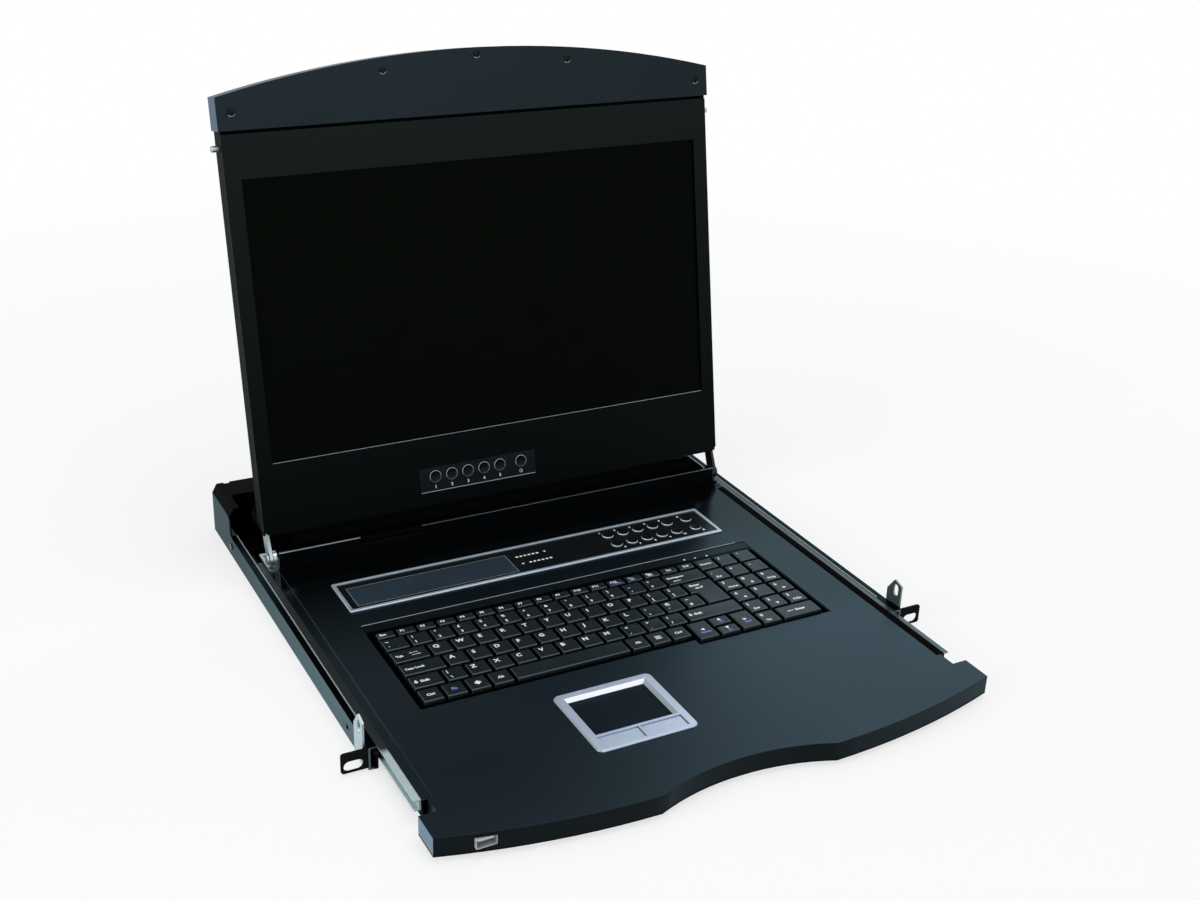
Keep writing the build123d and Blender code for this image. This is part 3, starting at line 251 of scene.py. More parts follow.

# %% [markdown]
# ## Coats with painted light and shade
# The deck's coat has painted light and shade: paler at the left and darker along the front, beside the
# number keys and under the lid. It is also smoother where the lid stands. Painted light makes the lid
# grow lighter upwards. A painted mask could say so, but straight ramps along the axes say it in metres.


# %% Coats with painted light and shade
def deck_painted_light(finish, film):
    """Painted light and shade: paler left, darker in front, by the keys, under the lid and on faces to the
    user.
    """
    across, along = finish.along("X"), finish.along("Y")
    # Painted shade: darker along the front.
    film = finish.mix(finish.rise(along, 0.03, -0.10), film, (0.0098, 0.0170, 0.0235))
    # Painted light: paler at the left.
    left_painted_light = finish.rise(across, -0.08, -0.17) * finish.rise(along, -0.05, 0.06)
    film = finish.mix(left_painted_light, film, (0.026, 0.039, 0.048))
    # Painted shade beside the number keys.
    beside_keys_shade = finish.rise(across, 0.160, 0.180) * finish.rise(along, 0.0, 0.05)
    film = finish.mix(beside_keys_shade, film, (0.0098, 0.0160, 0.0205))
    # Painted shade on faces that look at the user.
    film = finish.mix(finish.rise(finish.facing("Y"), -0.5, -0.9), film, (0.0020, 0.0031, 0.0040))
    # Painted reflection of the dark lid: darker towards the lid.
    film = finish.mix(finish.rise(along, 0.118, 0.236), film, (0.0018, 0.0028, 0.0028))
    # Painted highlight on the left end of the nose.
    nose_end_highlight = finish.rise(finish.facing("X"), -0.7, -0.95) * finish.rise(across, -0.2180, -0.2188)
    return finish.mix(nose_end_highlight, film, (0.17, 0.24, 0.32))


def smoother_at_lid(finish):
    """The deck mirrors the lid more sharply where it meets it."""
    return finish.rise(finish.along("Y"), 0.10, 0.22) * 0.17


deck_coat = powder_coat(
    "deck_powder_coat",
    (0.0135, 0.0225, 0.031),
    0.28,
    0.02,
    (0.58, 0.76, 0.85),
    metallic=0.66,
    shade=deck_painted_light,
    gloss=smoother_at_lid,
)


def painted_light_higher_up(finish, film):
    """Painted light: the film is lighter towards the top of the lid."""
    return finish.mix(finish.rise(finish.along("Z"), 0.12, 0.38), film, (0.012, 0.017, 0.017))


def painted_light_higher_bezel(finish, film):
    """Painted light: the bezel is lighter above the screen than below it."""
    return finish.mix(finish.rise(finish.along("Z"), 0.10, 0.36), film, (0.0075, 0.0105, 0.0108))


def painted_light_nearer_front(finish, film):
    """Painted light and shade: side plates lighter towards the rack's front, and their upper faces black."""
    film = finish.mix(finish.rise(finish.along("Y"), 0.33, 0.06), film, (0.10, 0.145, 0.160))
    return finish.mix(finish.rise(finish.facing(), 0.6, 0.8), film, (0.0015, 0.002, 0.002))


def painted_highlight_cap_sides(finish, film):
    """Painted highlight: the ends of the cap are pale where they face left."""
    return finish.mix(finish.rise(finish.facing("X"), -0.7, -0.95), film, (0.10, 0.135, 0.18))


bezel_black, bezel_edge = (0.0028, 0.0040, 0.0040), (0.46, 0.51, 0.51)
bezel_coat = powder_coat("bezel_powder_coat", bezel_black, 0.30, 0.02, bezel_edge, shade=painted_light_higher_bezel)
back_black, back_edge = (0.003, 0.005, 0.0045), (0.30, 0.35, 0.34)
back_coat = powder_coat("lid_back_coat", back_black, 0.26, 0.02, back_edge, shade=painted_light_higher_up)
cap_black, cap_edge = (0.0105, 0.016, 0.019), (0.58, 0.66, 0.74)
lid_coat = powder_coat("lid_powder_coat", cap_black, 0.26, 0.02, cap_edge, shade=painted_highlight_cap_sides)
side_black, side_edge = (0.020, 0.027, 0.027), (0.53, 0.65, 0.7)
side_coat = powder_coat("side_plate_coat", side_black, 0.3, 0.02, side_edge, shade=painted_light_nearer_front)
print("uneven coats: 5")

# %% [markdown]
# ## Zinc, nickel and screws
# The slides, blades and hinges are zinc-plated steel. Rolled strip keeps fine lines along its length,
# so the noise is stretched along Y. Metal takes its look from its roughness, which is where the
# lines go, with a slight blue-white colour for the plating. A plain metal of one roughness would look
# like chrome. Painted shade darkens the upper faces of the rails and the zinc at the drawer's right side,
# and the left rail is a paler copy with painted light.


# %% Metals
def plated(name, colour, roughness, lines=0.12, upper=None, metallic=1.0, unshaded_to=None, right=None):
    """Plated steel with fine lines along its length, and painted shade on upper faces or at the right."""
    finish = Finish(bpy.data.materials.new(name))
    strip = finish.noise(60.0, 4.0, stretch=(20.0, 0.6, 20.0))
    cloud = finish.noise(25.0, 2.0)
    darker = tuple(c * 0.72 for c in colour)
    tone = finish.mix(cloud * 0.7 + strip * 0.3, darker, colour)
    # Painted shade darkens the upper faces, behind a given Y if one is given.
    if upper:
        upper_shade = finish.rise(finish.facing(), 0.68, 0.72)
        if unshaded_to is not None:
            upper_shade = upper_shade * finish.rise(finish.along("Y"), unshaded_to - 0.006, unshaded_to)
        tone = finish.mix(upper_shade, tone, upper)
    # Painted shade on the part at the right of the drawer.
    if right:
        tone = finish.mix(finish.rise(finish.along("X"), -0.05, 0.05), tone, right)
    return finish.surface(
        Base_Color=tone,
        Metallic=metallic,
        Roughness=strip * lines + cloud * 0.1 + roughness,
        Normal=finish.bump(strip, 0.01 * MM),
    )


zinc = plated("zinc_plate", (0.42, 0.49, 0.50), 0.24)
# The right inner rail has painted shade on its upper faces.
right_rail_shaded_zinc = plated("right_rail_painted_shade_zinc", (0.40, 0.47, 0.49), 0.24, upper=(0.045, 0.064, 0.070))
# The left inner rail is a paler copy with painted light, and painted shade on its upper faces behind its
# front end.
left_rail_lit_zinc = plated(
    "left_rail_painted_light_zinc", (0.54, 0.66, 0.68), 0.34, upper=(0.012, 0.016, 0.016), metallic=0.35, unshaded_to=-0.004
)
# Painted shade darkens the blades and hinges at the drawer's right.
blade_zinc_shaded_right = plated("blade_zinc_shaded_right", (0.50, 0.63, 0.68), 0.26, metallic=0.8, right=(0.22, 0.27, 0.28))
hinge_zinc_shaded_right = plated("hinge_zinc_shaded_right", (0.42, 0.49, 0.50), 0.24, right=(0.030, 0.036, 0.036))
nickel = plated("nickel_plate", (0.60, 0.62, 0.63), 0.16, lines=0.04)
screw_black = plated("screw_black_oxide", (0.012, 0.015, 0.016), 0.16, lines=0.05)
edge_steel_and_highlight = plated("bright_edge", (0.30, 0.34, 0.37), 0.25, lines=0.05)
painted_highlight_edge = plated("painted_highlight_edge", (0.34, 0.39, 0.43), 0.40, lines=0.05, metallic=0.1)
print("plated finishes ready")

# %% [markdown]
# ## Plastics, screen and print
# Key caps are satin black plastic, the touchpad frame is painted silver, and the screen is a dark
# panel with a faint olive tint that mirrors very little. Legends are flat white or coloured ink.
# Each could have its own tree, but they differ only in a few numbers, so one function makes them all,
# and a small function of painted light and shade is passed in where a piece has darker walls or a
# brighter slope.


# %% Plastics and inks
def moulded(
    name, colour, roughness, level=0.5, grain=0.006, metallic=0.0, spread=1.5, edge=(1, 1, 1), light_and_shade=None
):
    """Moulded or painted plastic with a fine grain and slightly uneven gloss."""
    finish = Finish(bpy.data.materials.new(name))
    fine = finish.noise(2200.0, 2.0)
    broad = finish.noise(40.0, 2.0)
    lighter = tuple(min(c * spread, 1.0) for c in colour)
    tone = finish.mix(broad, colour, lighter)
    if light_and_shade:
        tone = light_and_shade(finish, tone)
    return finish.surface(
        Base_Color=tone,
        Roughness=broad * 0.08 + roughness,
        Specular_IOR_Level=level,
        Specular_Tint=(*edge, 1.0),
        Metallic=metallic,
        Normal=finish.bump(fine, grain * MM),
    )


def key_light_and_shade(finish, tone):
    """Painted shade on the walls in the gaps, a painted highlight on the round edge, and the satin top."""
    up = finish.facing()
    edge = finish.rise(up, 0.50, 0.70) * (1.0 - finish.rise(up, 0.92, 0.985))
    tone = finish.mix(finish.rise(up, 0.40, 0.62), (0.0015, 0.0022, 0.0024), tone)
    return finish.mix(edge, tone, (0.060, 0.075, 0.082))


def board_gap_shade(finish, tone):
    """Painted shade: black between the keys, and satin on the strip behind them."""
    return finish.mix(finish.rise(finish.along("Y"), 0.1385, 0.1395), (0.0008, 0.0010, 0.0011), tone)


def slope_light_and_shade(finish, tone):
    """Painted highlight on the inner slope that looks at the user, and painted shade on those that look left.
    """
    user_slope_highlight = finish.rise(finish.facing("Y"), -0.25, -0.45) * finish.rise(finish.along("Y"), -0.030, -0.026)
    tone = finish.mix(user_slope_highlight, tone, (0.92, 0.94, 0.98))
    return finish.mix(finish.rise(finish.facing("X"), -0.25, -0.45), tone, (0.30, 0.36, 0.37))


key_black, key_edge = (0.016, 0.0225, 0.0265), (0.58, 0.72, 0.80)
key_plastic = moulded("key_plastic", key_black, 0.30, level=0.3, metallic=0.5, edge=key_edge, light_and_shade=key_light_and_shade)
board_black, board_edge = (0.014, 0.020, 0.025), (0.5, 0.62, 0.7)
board_plastic = moulded(
    "keyboard_frame_plastic", board_black, 0.3, level=0.1, metallic=0.8, edge=board_edge, light_and_shade=board_gap_shade
)
silver_paint = moulded("silver_paint", (0.40, 0.47, 0.55), 0.30, metallic=0.45, spread=1.12)
pad_tint = (0.43, 0.51, 0.64)
pad_silver = moulded("touchpad_silver", pad_tint, 0.30, metallic=0.4, spread=1.12, light_and_shade=slope_light_and_shade)
port_silver = moulded("port_silver", (0.46, 0.50, 0.49), 0.35, metallic=0.3, spread=1.1)
rim_silver_and_highlight = moulded("rim_silver_and_highlight", (0.62, 0.66, 0.69), 0.30, metallic=0.2, spread=1.1)
matt_black_guard_and_shade = moulded("matt_guard_and_shade_bars", (0.0008, 0.0008, 0.0008), 0.8, level=0.02, grain=0.03)
jack_plastic = moulded("jack_plastic", (0.012, 0.012, 0.013), 0.4)
# The board's green is darkened by painted shade.
circuit_green_painted_shade = moulded("circuit_green_painted_shade", (0.004, 0.022, 0.010), 0.35)
screen_glass = moulded("screen_surface", (0.0006, 0.0014, 0.0004), 0.3, level=0.02, grain=0.002)


def dark_film(name, colour, roughness, level, grain, metallic, edge):
    """A thin dark skin with a cold shine at low angles."""
    return moulded(name, colour, roughness, level=level, grain=grain, metallic=metallic, edge=edge)


pad_skin = dark_film("touchpad_skin", (0.0085, 0.0130, 0.0175), 0.42, 0.2, 0.02, 0.8, (0.35, 0.45, 0.52))
button_skin = dark_film("button_skin", (0.006, 0.008, 0.009), 0.3, 0.15, 0.006, 0.6, (0.5, 0.6, 0.65))
fascia_film = dark_film("fascia_film", (0.016, 0.021, 0.023), 0.16, 0.2, 0.002, 0.7, (0.6, 0.7, 0.76))
menu_film = dark_film("menu_film", (0.0075, 0.0105, 0.012), 0.2, 0.1, 0.002, 0.85, (0.5, 0.6, 0.66))
window_film = dark_film("window_film", (0.044, 0.070, 0.098), 0.2, 0.3, 0.001, 0.6, (0.6, 0.8, 0.9))


def ink(name, colour, roughness=0.5):
    """Flat printing ink, a little thin in places."""
    finish = Finish(bpy.data.materials.new(name))
    worn = finish.noise(900.0, 2.0)
    thin = tuple(c * 0.8 for c in colour)
    return finish.surface(Base_Color=finish.mix(worn, thin, colour), Roughness=roughness)


white_ink = ink("white_ink", (0.93, 0.96, 0.98))
blue_ink = ink("blue_ink", (0.22, 0.27, 0.92))
cyan_ink = ink("cyan_ink", (0.35, 0.62, 0.80))
grey_ink = ink("grey_ink", (0.30, 0.34, 0.36))
INKS = [white_ink, blue_ink, cyan_ink, grey_ink]
WHITE, BLUE, CYAN, GREY = range(4)
print("films: 5, inks:", len(INKS))

# %% [markdown]
# ## Finish the CAD nodes
# Sheet metal and mouldings never have razor edges. A Weld modifier joins the facets, a planar Decimate
# merges those that lie in one plane, and a narrow Bevel catches the light along each edge. Weighted
# Normal lets the large faces win, so they stay flat. Modifiers leave the CAD mesh itself as it is.

# %% Materials and softened edges
COATS = {
    deck_coat: "deck_cover",
    block_coat: "hinge_block",
    bezel_coat: "lid_bezel",
    back_coat: "lid_back_cover",
    lid_coat: "lid_cap",
    side_coat: "side_plate_left side_plate_right",
    chassis_coat: "rear_floor rear_top_plate rear_panel rack_ear_left rack_ear_right tray_pan",
    rail_coat: "middle_rail_left middle_rail_right",
    bar_coat: "hinge_bar",
    right_rail_shaded_zinc: "inner_rail_right",
    left_rail_lit_zinc: "inner_rail_left",
    blade_zinc_shaded_right: "ear_blade_left ear_blade_right",
    zinc: "outer_rail_left outer_rail_right latch_pin_left latch_pin_right",
    hinge_zinc_shaded_right: "hinge_bracket_left hinge_bracket_right hinge_pins hinge_arms",
    port_silver: "usb_port",
    nickel: "rear_ports",
    screw_black: "rail_screws cap_screws",
    matt_black_guard_and_shade: "cable_guard",
    jack_plastic: "power_jack",
    circuit_green_painted_shade: "switch_board",
    board_plastic: "keyboard_base",
    silver_paint: "strip_frame",
    pad_silver: "touchpad_frame touchpad_button_left touchpad_button_right",
    pad_skin: "touchpad_surface",
    fascia_film: "strip_fascia",
    menu_film: "menu_strip",
    button_skin: "strip_buttons_back strip_buttons_front menu_buttons power_button",
    screen_glass: "lcd_panel",
    key_plastic: "keys_function_row keys_number_row keys_upper_row keys_home_row keys_lower_row"
    " keys_bottom_row space_bar enter_key arrow_keys number_pad",
}
PLAIN_EDGE = 0.25
SOFT_EDGE = {"touchpad_frame": 0.5, "hinge_block": 0.5, "lid_cap": 0.4}
SOFT_EDGE |= {"deck_cover": 0.35, "strip_frame": 0.3}


def soften(piece, width):
    """Round a CAD node's edges for the light, with modifiers only."""
    for face in piece.data.polygons:
        face.use_smooth = True
    weld = piece.modifiers.new("join_facets", "WELD")
    weld.merge_threshold = 1e-6
    planes = piece.modifiers.new("join_planes", "DECIMATE")
    planes.decimate_type = "DISSOLVE"
    planes.angle_limit = radians(0.4)
    bevel = piece.modifiers.new("soft_edge", "BEVEL")
    bevel.width = width * MM
    bevel.segments = 2
    bevel.limit_method = "ANGLE"
    bevel.angle_limit = radians(35)
    bevel.use_clamp_overlap = True
    bevel.face_strength_mode = "FSTR_ALL"
    normals = piece.modifiers.new("flat_faces", "WEIGHTED_NORMAL")
    normals.keep_sharp = True
    normals.use_face_influence = True
    normals.weight = 100


def islands(piece):
    """The boxes of a CAD node's separate solids, in millimetres, from left to right."""
    mesh = bmesh.new()
    mesh.from_mesh(piece.data)
    bmesh.ops.remove_doubles(mesh, verts=mesh.verts, dist=1e-6)
    boxes = []
    seen = set()
    for start in mesh.verts:
        if start in seen:
            continue
        group, front = [], [start]
        seen.add(start)
        while front:
            vert = front.pop()
            group.append(vert.co / MM)
            for edge in vert.link_edges:
                other = edge.other_vert(vert)
                if other not in seen:
                    seen.add(other)
                    front.append(other)
        low = Vector([min(co[i] for co in group) for i in range(3)])
        high = Vector([max(co[i] for co in group) for i in range(3)])
        boxes.append((low, high))
    mesh.free()
    return sorted(boxes, key=lambda box: box[0].x + box[1].x)


for coat, coated in COATS.items():
    for name in coated.split():
        nodes[name].data.materials.clear()
        nodes[name].data.materials.append(coat)
        soften(nodes[name], SOFT_EDGE.get(name, PLAIN_EDGE))
print("finished CAD nodes:", sum(len(coated.split()) for coated in COATS.values()))

# %% [markdown]
# ## Outlines and lofts
# Key caps, rims and printed marks all start from a flat outline. One function moves an outline inwards
# and rounds its corners, and another skins a stack of such outlines into a closed mesh. That is how a
# moulded cap is really drawn: a foot, a waist and a dished top.


# %% Outline helpers
def rounded(points, inset, radius, steps=3):
    """A polygon, drawn anticlockwise, moved inwards and with rounded corners."""
    count = len(points)
    moved = []
    for i in range(count):
        before, here, after = (Vector(points[(i + k) % count]) for k in (-1, 0, 1))
        along_in = (here - before).normalized()
        along_out = (after - here).normalized()
        normal_in = Vector((-along_in.y, along_in.x))
        normal_out = Vector((-along_out.y, along_out.x))
        corner = here + (normal_in + normal_out) * (inset / (1 + normal_in.dot(normal_out)))
        moved.append((corner, along_in, along_out))
    ring = []
    for corner, along_in, along_out in moved:
        start = corner - along_in * radius
        end = corner + along_out * radius
        for k in range(steps + 1):
            t = k / steps
            ring.append(start * (1 - t) ** 2 + corner * (2 * t * (1 - t)) + end * t**2)
    return ring


def box_points(low, high):
    """The four corners of a rectangle, anticlockwise."""
    return [(low[0], low[1]), (high[0], low[1]), (high[0], high[1]), (low[0], high[1])]


def flat(x, y, z):
    """A point of the drawer, given in millimetres."""
    return Vector((x, y, z)) * MM


hinge = Vector(next(j["pos_m"] for j in frame["joints"] if j["name"] == "lid_hinge")) / MM
TILT = radians(10.44)
LID_UP = Vector((0, sin(TILT), cos(TILT)))
LID_FRONT = Vector((0, -cos(TILT), sin(TILT)))
lid_corner = hinge + LID_UP * 20.0 + LID_FRONT * 2.8


def on_lid(x, y, z):
    """A point on the lid: across, up from its lower edge, and out from its front face."""
    return (lid_corner + Vector((x, 0, 0)) + LID_UP * y + LID_FRONT * z) * MM


def skin(rings, verts, faces, closed_foot=False, closed_top=True):
    """Add a stack of equal rings to a mesh, joined by quads and capped."""
    first = len(verts)
    size = len(rings[0])
    for ring in rings:
        verts.extend(ring)
    for level in range(len(rings) - 1):
        for i in range(size):
            a = first + level * size + i
            b = first + level * size + (i + 1) % size
            faces.append((a, b, b + size, a + size))
    if closed_foot:
        faces.append(tuple(reversed(range(first, first + size))))
    if closed_top:
        top = first + (len(rings) - 1) * size
        faces.append(tuple(range(top, top + size)))


def piece(name, verts, faces, materials, body, tints=None, smooth=30):
    """Make a mesh piece from points in metres, and let it ride on a body."""
    mesh = bpy.data.meshes.new(name)
    mesh.from_pydata([tuple(v) for v in verts], [], faces)
    for material in materials:
        mesh.materials.append(material)
    if tints:
        mesh.polygons.foreach_set("material_index", tints)
    for face in mesh.polygons:
        face.use_smooth = bool(smooth)
    if smooth:
        mesh.set_sharp_from_angle(angle=radians(smooth))
    made = bpy.data.objects.new(name, mesh)
    bpy.context.scene.collection.objects.link(made)
    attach(made, body)
    return made


print("outline helpers ready")

# %% [markdown]
# ## Key caps
# A low key has a straight foot, walls that lean in, a small round edge and a barely dished top. The
# CAD caps have the right place and size but sharp edges, so each group of caps is skinned again over
# the CAD boxes and stands in for its node. The tall enter key is the one that isn't a rectangle.

# %% Key caps
KEY_ROWS = {f"keys_{row}_row": row for row in "function number upper home lower bottom".split()}
KEY_ROWS |= {"space_bar": "space", "enter_key": "enter", "arrow_keys": "arrow", "number_pad": "pad"}
KEY_FOOT = 10.0
KEY_TOP = 13.9
# the inset, height and corner radius of each outline, from the foot to the dished top
KEY_PROFILE = [(0.0, 0.0, 0.5), (0.05, 0.9, 0.6), (0.80, 3.25, 0.9)]
KEY_PROFILE += [(1.02, 3.68, 1.0), (1.35, 3.88, 1.1), (2.3, 3.80, 1.3)]
KEY_GAP = 1.5
DISH = 0.10
PRINT_LIFT = 0.04


def cap_outline(name, low, high):
    """The foot of a key cap, anticlockwise."""
    if name != "enter_key":
        return box_points(low, high)
    home = islands(nodes["keys_home_row"])[-1]
    step_x = home[1].x + KEY_GAP
    step_y = home[1].y + KEY_GAP
    upper = [(high.x, high.y), (low.x, high.y), (low.x, step_y), (step_x, step_y)]
    return [(step_x, low.y), (high.x, low.y)] + upper


key_boxes = {}
for node_name, row in KEY_ROWS.items():
    verts, faces = [], []
    key_boxes[row] = islands(nodes[node_name])
    for low, high in key_boxes[row]:
        outline = cap_outline(node_name, low, high)
        rings = []
        for inset, rise, radius in KEY_PROFILE:
            rings.append([flat(x, y, KEY_FOOT + rise) for x, y in rounded(outline, inset, radius)])
        skin(rings, verts, faces, closed_foot=True)
    caps = piece(f"caps_{row}", verts, faces, [key_plastic], node_name, smooth=50)
    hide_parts(node_name)
print("key caps:", sum(len(boxes) for boxes in key_boxes.values()))

# %% [markdown]
# ## Printed legends
# Ink on a cap is a few hundredths of a millimetre thick, so each legend is a flat mesh just above the
# plastic. Text curves give the letters, which become faces of one mesh for each row, and the ink is
# chosen face by face. Arrows, bars and rings are drawn as small polygons.


# %% Print collector
class Print:
    """Collects flat marks on one surface, then makes them one piece."""

    glyphs = {}

    def __init__(self, where, height):
        self.where = where
        self.height = height
        self.verts, self.faces, self.tints = [], [], []

    @classmethod
    def shape_of(cls, text):
        """Points and faces of a text, one unit high, from the text curve."""
        if text not in cls.glyphs:
            curve = bpy.data.curves.new("text", "FONT")
            curve.body = text
            curve.resolution_u = 2
            curve.offset = 0.036
            holder = bpy.data.objects.new("text", curve)
            mesh = bpy.data.meshes.new_from_object(holder)
            points = [vert.co.copy() for vert in mesh.vertices]
            cls.glyphs[text] = (points, [tuple(face.vertices) for face in mesh.polygons])
            bpy.data.meshes.remove(mesh)
            bpy.data.objects.remove(holder)
            bpy.data.curves.remove(curve)
        return cls.glyphs[text]

    def shape(self, points, tint=WHITE, faces=None):
        """Add one flat polygon, or several faces over the same points."""
        first = len(self.verts)
        self.verts.extend(self.where(x, y, self.height) for x, y in points)
        for face in faces or [tuple(range(len(points)))]:
            self.faces.append(tuple(first + i for i in face))
            self.tints.append(tint)

    def text(self, text, x, y, size, tint=WHITE, wide=1.0, centred=False):
        """Add a line of text with its lower left corner, or its middle, at a place."""
        points, faces = self.shape_of(text)
        if not points:
            return
        left = min(p.x for p in points)
        shift = (max(p.x for p in points) + left) / 2 if centred else left
        spots = [(x + (p.x - shift) * size * wide, y + p.y * size) for p in points]
        self.shape(spots, tint, faces)

    def bar(self, x0, y0, x1, y1, tint=WHITE):
        """Add a rectangle."""
        self.shape([(x0, y0), (x1, y0), (x1, y1), (x0, y1)], tint)

    def ring(self, x, y, radius, width, tint=WHITE, start=0.0, turn=2 * pi, steps=20):
        """Add a band round a circle, or along part of it."""
        for i in range(steps):
            a, b = start + turn * i / steps, start + turn * (i + 1) / steps
            inner = radius - width
            self.shape(
                [
                    (x + inner * cos(a), y + inner * sin(a)),
                    (x + radius * cos(a), y + radius * sin(a)),
                    (x + radius * cos(b), y + radius * sin(b)),
                    (x + inner * cos(b), y + inner * sin(b)),
                ],
                tint,
            )

    def outline(self, x0, y0, x1, y1, width, tint=GREY):
        """Add a thin rectangular frame."""
        self.bar(x0, y0, x1, y0 + width, tint)
        self.bar(x0, y1 - width, x1, y1, tint)
        self.bar(x0, y0 + width, x0 + width, y1 - width, tint)
        self.bar(x1 - width, y0 + width, x1, y1 - width, tint)

    def arrow(self, x, y, size, direction, tint=WHITE):
        """Add a triangle that points left, right, up or down."""
        turn = {"right": 0, "up": 1, "left": 2, "down": 3}[direction] * pi / 2
        points = []
        for cx, cy in ((0.6, 0.0), (-0.45, 0.5), (-0.45, -0.5)):
            turned = (cx * cos(turn) - cy * sin(turn), cx * sin(turn) + cy * cos(turn))
            points.append((x + size * turned[0], y + size * turned[1]))
        self.shape(points, tint)

    def done(self, name, body):
        """Make the collected marks one piece."""
        made = piece(name, self.verts, self.faces, INKS, body, tints=self.tints, smooth=0)
        print(name, "faces:", len(self.faces))
        return made


print("inks to print with:", [material.name for material in INKS])

# %% [markdown]
# ## What the caps say
# Letters sit high at the left of a cap, pairs of signs stand one above the other, and words are
# centred or start at the left. A helper for each keeps a row to a line or two.


# %% Legends
LETTERS = {
    "upper": list("QWERTYUIOP"),
    "home": list("ASDFGHJKL"),
    "lower": list("ZXCVBNM"),
}
PAIRS = {
    "number": ["¬`", "!1", '"2', "£3", "$4", "%5", "^6", "&7", "*8", "(9", ")0", "_-", "+="],
    "upper": ["{[", "}]"],
    "home": [":;", "@'", "~#"],
    "lower": ["<,", ">.", "?/"],
}
LEGEND_Z = KEY_TOP - DISH + PRINT_LIFT


def letter(ink_row, box, text, size=5.6):
    """A single letter at the upper left of a cap."""
    ink_row.text(text, box[0].x + 3.5, box[1].y - 7.6, size, wide=1.05)


def pair(ink_row, box, two, size=4.2):
    """Two signs, one above the other, at the left of a cap."""
    ink_row.text(two[0], box[0].x + 3.4, box[1].y - 6.2, size)
    ink_row.text(two[1], box[0].x + 3.8, box[0].y + 3.4, size)


def word(ink_row, box, text, size=3.8, tint=WHITE, drop=0.0):
    """A word in the middle of a cap."""
    middle = (box[0] + box[1]) / 2
    ink_row.text(text, middle.x, middle.y - size * 0.35 - drop, size, tint, centred=True)


def left_word(ink_row, box, text, size=3.7, rise=0.0, tint=WHITE, inset=3.2):
    """A word at the left of a wide cap."""
    ink_row.text(text, box[0].x + inset, (box[0].y + box[1].y) / 2 - size * 0.35 + rise, size, tint)


rows = {row: Print(flat, LEGEND_Z) for row in KEY_ROWS.values()}
function_keys = key_boxes["function"]
for box, text in zip(function_keys, ["Esc"] + [f"F{i}" for i in range(1, 13)]):
    rows["function"].text(text, box[0].x + 2.8, box[1].y - 5.6, 3.9)
last_f = function_keys[12]
rows["function"].text("Num", last_f[0].x + 4.6, last_f[0].y + 2.3, 3.0, BLUE)
for box, (upper, lower, tint) in zip(function_keys[13:15], (("Prt", "Scr", CYAN), ("Pau", "Brk", WHITE))):
    rows["function"].text(upper, box[0].x + 3.0, box[1].y - 5.2, 3.4, tint)
    rows["function"].text(lower, box[0].x + 3.8, box[0].y + 2.3, 3.2, tint)
for box, text in zip(function_keys[15:], ("Ins", "Del")):
    word(rows["function"], box, text, 3.8)
for box, two in zip(key_boxes["number"], PAIRS["number"]):
    pair(rows["number"], box, two)
back_key = key_boxes["number"][-1]
left_word(rows["number"], back_key, "Backspace", 3.6, rise=2.0)
rows["number"].bar(back_key[0].x + 7.0, back_key[0].y + 4.4, back_key[0].x + 13.0, back_key[0].y + 5.1)
rows["number"].arrow(back_key[0].x + 6.8, back_key[0].y + 4.75, 2.2, "left")
for row, lead in (("upper", 1), ("home", 1), ("lower", 2)):
    plain = key_boxes[row][lead : lead + len(LETTERS[row])]
    for box, text in zip(plain, LETTERS[row]):
        letter(rows[row], box, text)
    for box, two in zip(key_boxes[row][lead + len(LETTERS[row]) :], PAIRS[row]):
        pair(rows[row], box, two)
pair(rows["lower"], key_boxes["lower"][1], "|\\")
tab = key_boxes["upper"][0]
left_word(rows["upper"], tab, "Tab", 3.8)
for rise, way in ((1.6, "left"), (-1.6, "right")):
    middle = (tab[0] + tab[1]) / 2
    rows["upper"].bar(middle.x + 1.0, middle.y + rise - 0.25, middle.x + 7.0, middle.y + rise + 0.25)
    rows["upper"].arrow(middle.x + (0.8 if way == "left" else 7.2), middle.y + rise, 1.7, way)
left_word(rows["home"], key_boxes["home"][0], "Caps Lock", 3.5)
for box in (key_boxes["lower"][0], key_boxes["lower"][-1]):
    middle_y = (box[0].y + box[1].y) / 2
    rows["lower"].arrow(box[0].x + 4.6, middle_y + 0.7, 3.4, "up")
    rows["lower"].bar(box[0].x + 4.0, middle_y - 1.6, box[0].x + 5.2, middle_y - 0.3)
    left_word(rows["lower"], box, "Shift", 3.9, inset=7.8)
bottom = key_boxes["bottom"]
for i, text in ((0, "Ctrl"), (3, "Alt"), (4, "Alt"), (6, "Ctrl")):
    word(rows["bottom"], bottom[i], text)
word(rows["bottom"], bottom[1], "Fn", 4.4, BLUE)
middle = (bottom[2][0] + bottom[2][1]) / 2
diamond = ((0.0, -2.6), (2.8, 0.0), (0.0, 2.6), (-2.8, 0.0))
rows["bottom"].shape([(middle.x + x, middle.y + y) for x, y in diamond])
middle = (bottom[5][0] + bottom[5][1]) / 2
for step in (-1.6, 0.0, 1.6):
    rows["bottom"].bar(middle.x - 2.4, middle.y + step - 0.45, middle.x + 2.4, middle.y + step + 0.45)
enter = key_boxes["enter"][0]
rows["enter"].text("Enter", enter[0].x + 4.6, enter[1].y - 7.2, 4.2)
rows["enter"].bar(enter[0].x + 8.6, enter[1].y - 11.2, enter[0].x + 14.2, enter[1].y - 10.3)
rows["enter"].bar(enter[0].x + 13.3, enter[1].y - 10.3, enter[0].x + 14.2, enter[1].y - 8.6)
rows["enter"].arrow(enter[0].x + 8.4, enter[1].y - 10.75, 2.8, "left")
arrows = sorted(key_boxes["arrow"], key=lambda box: (box[0].x, -box[0].y))
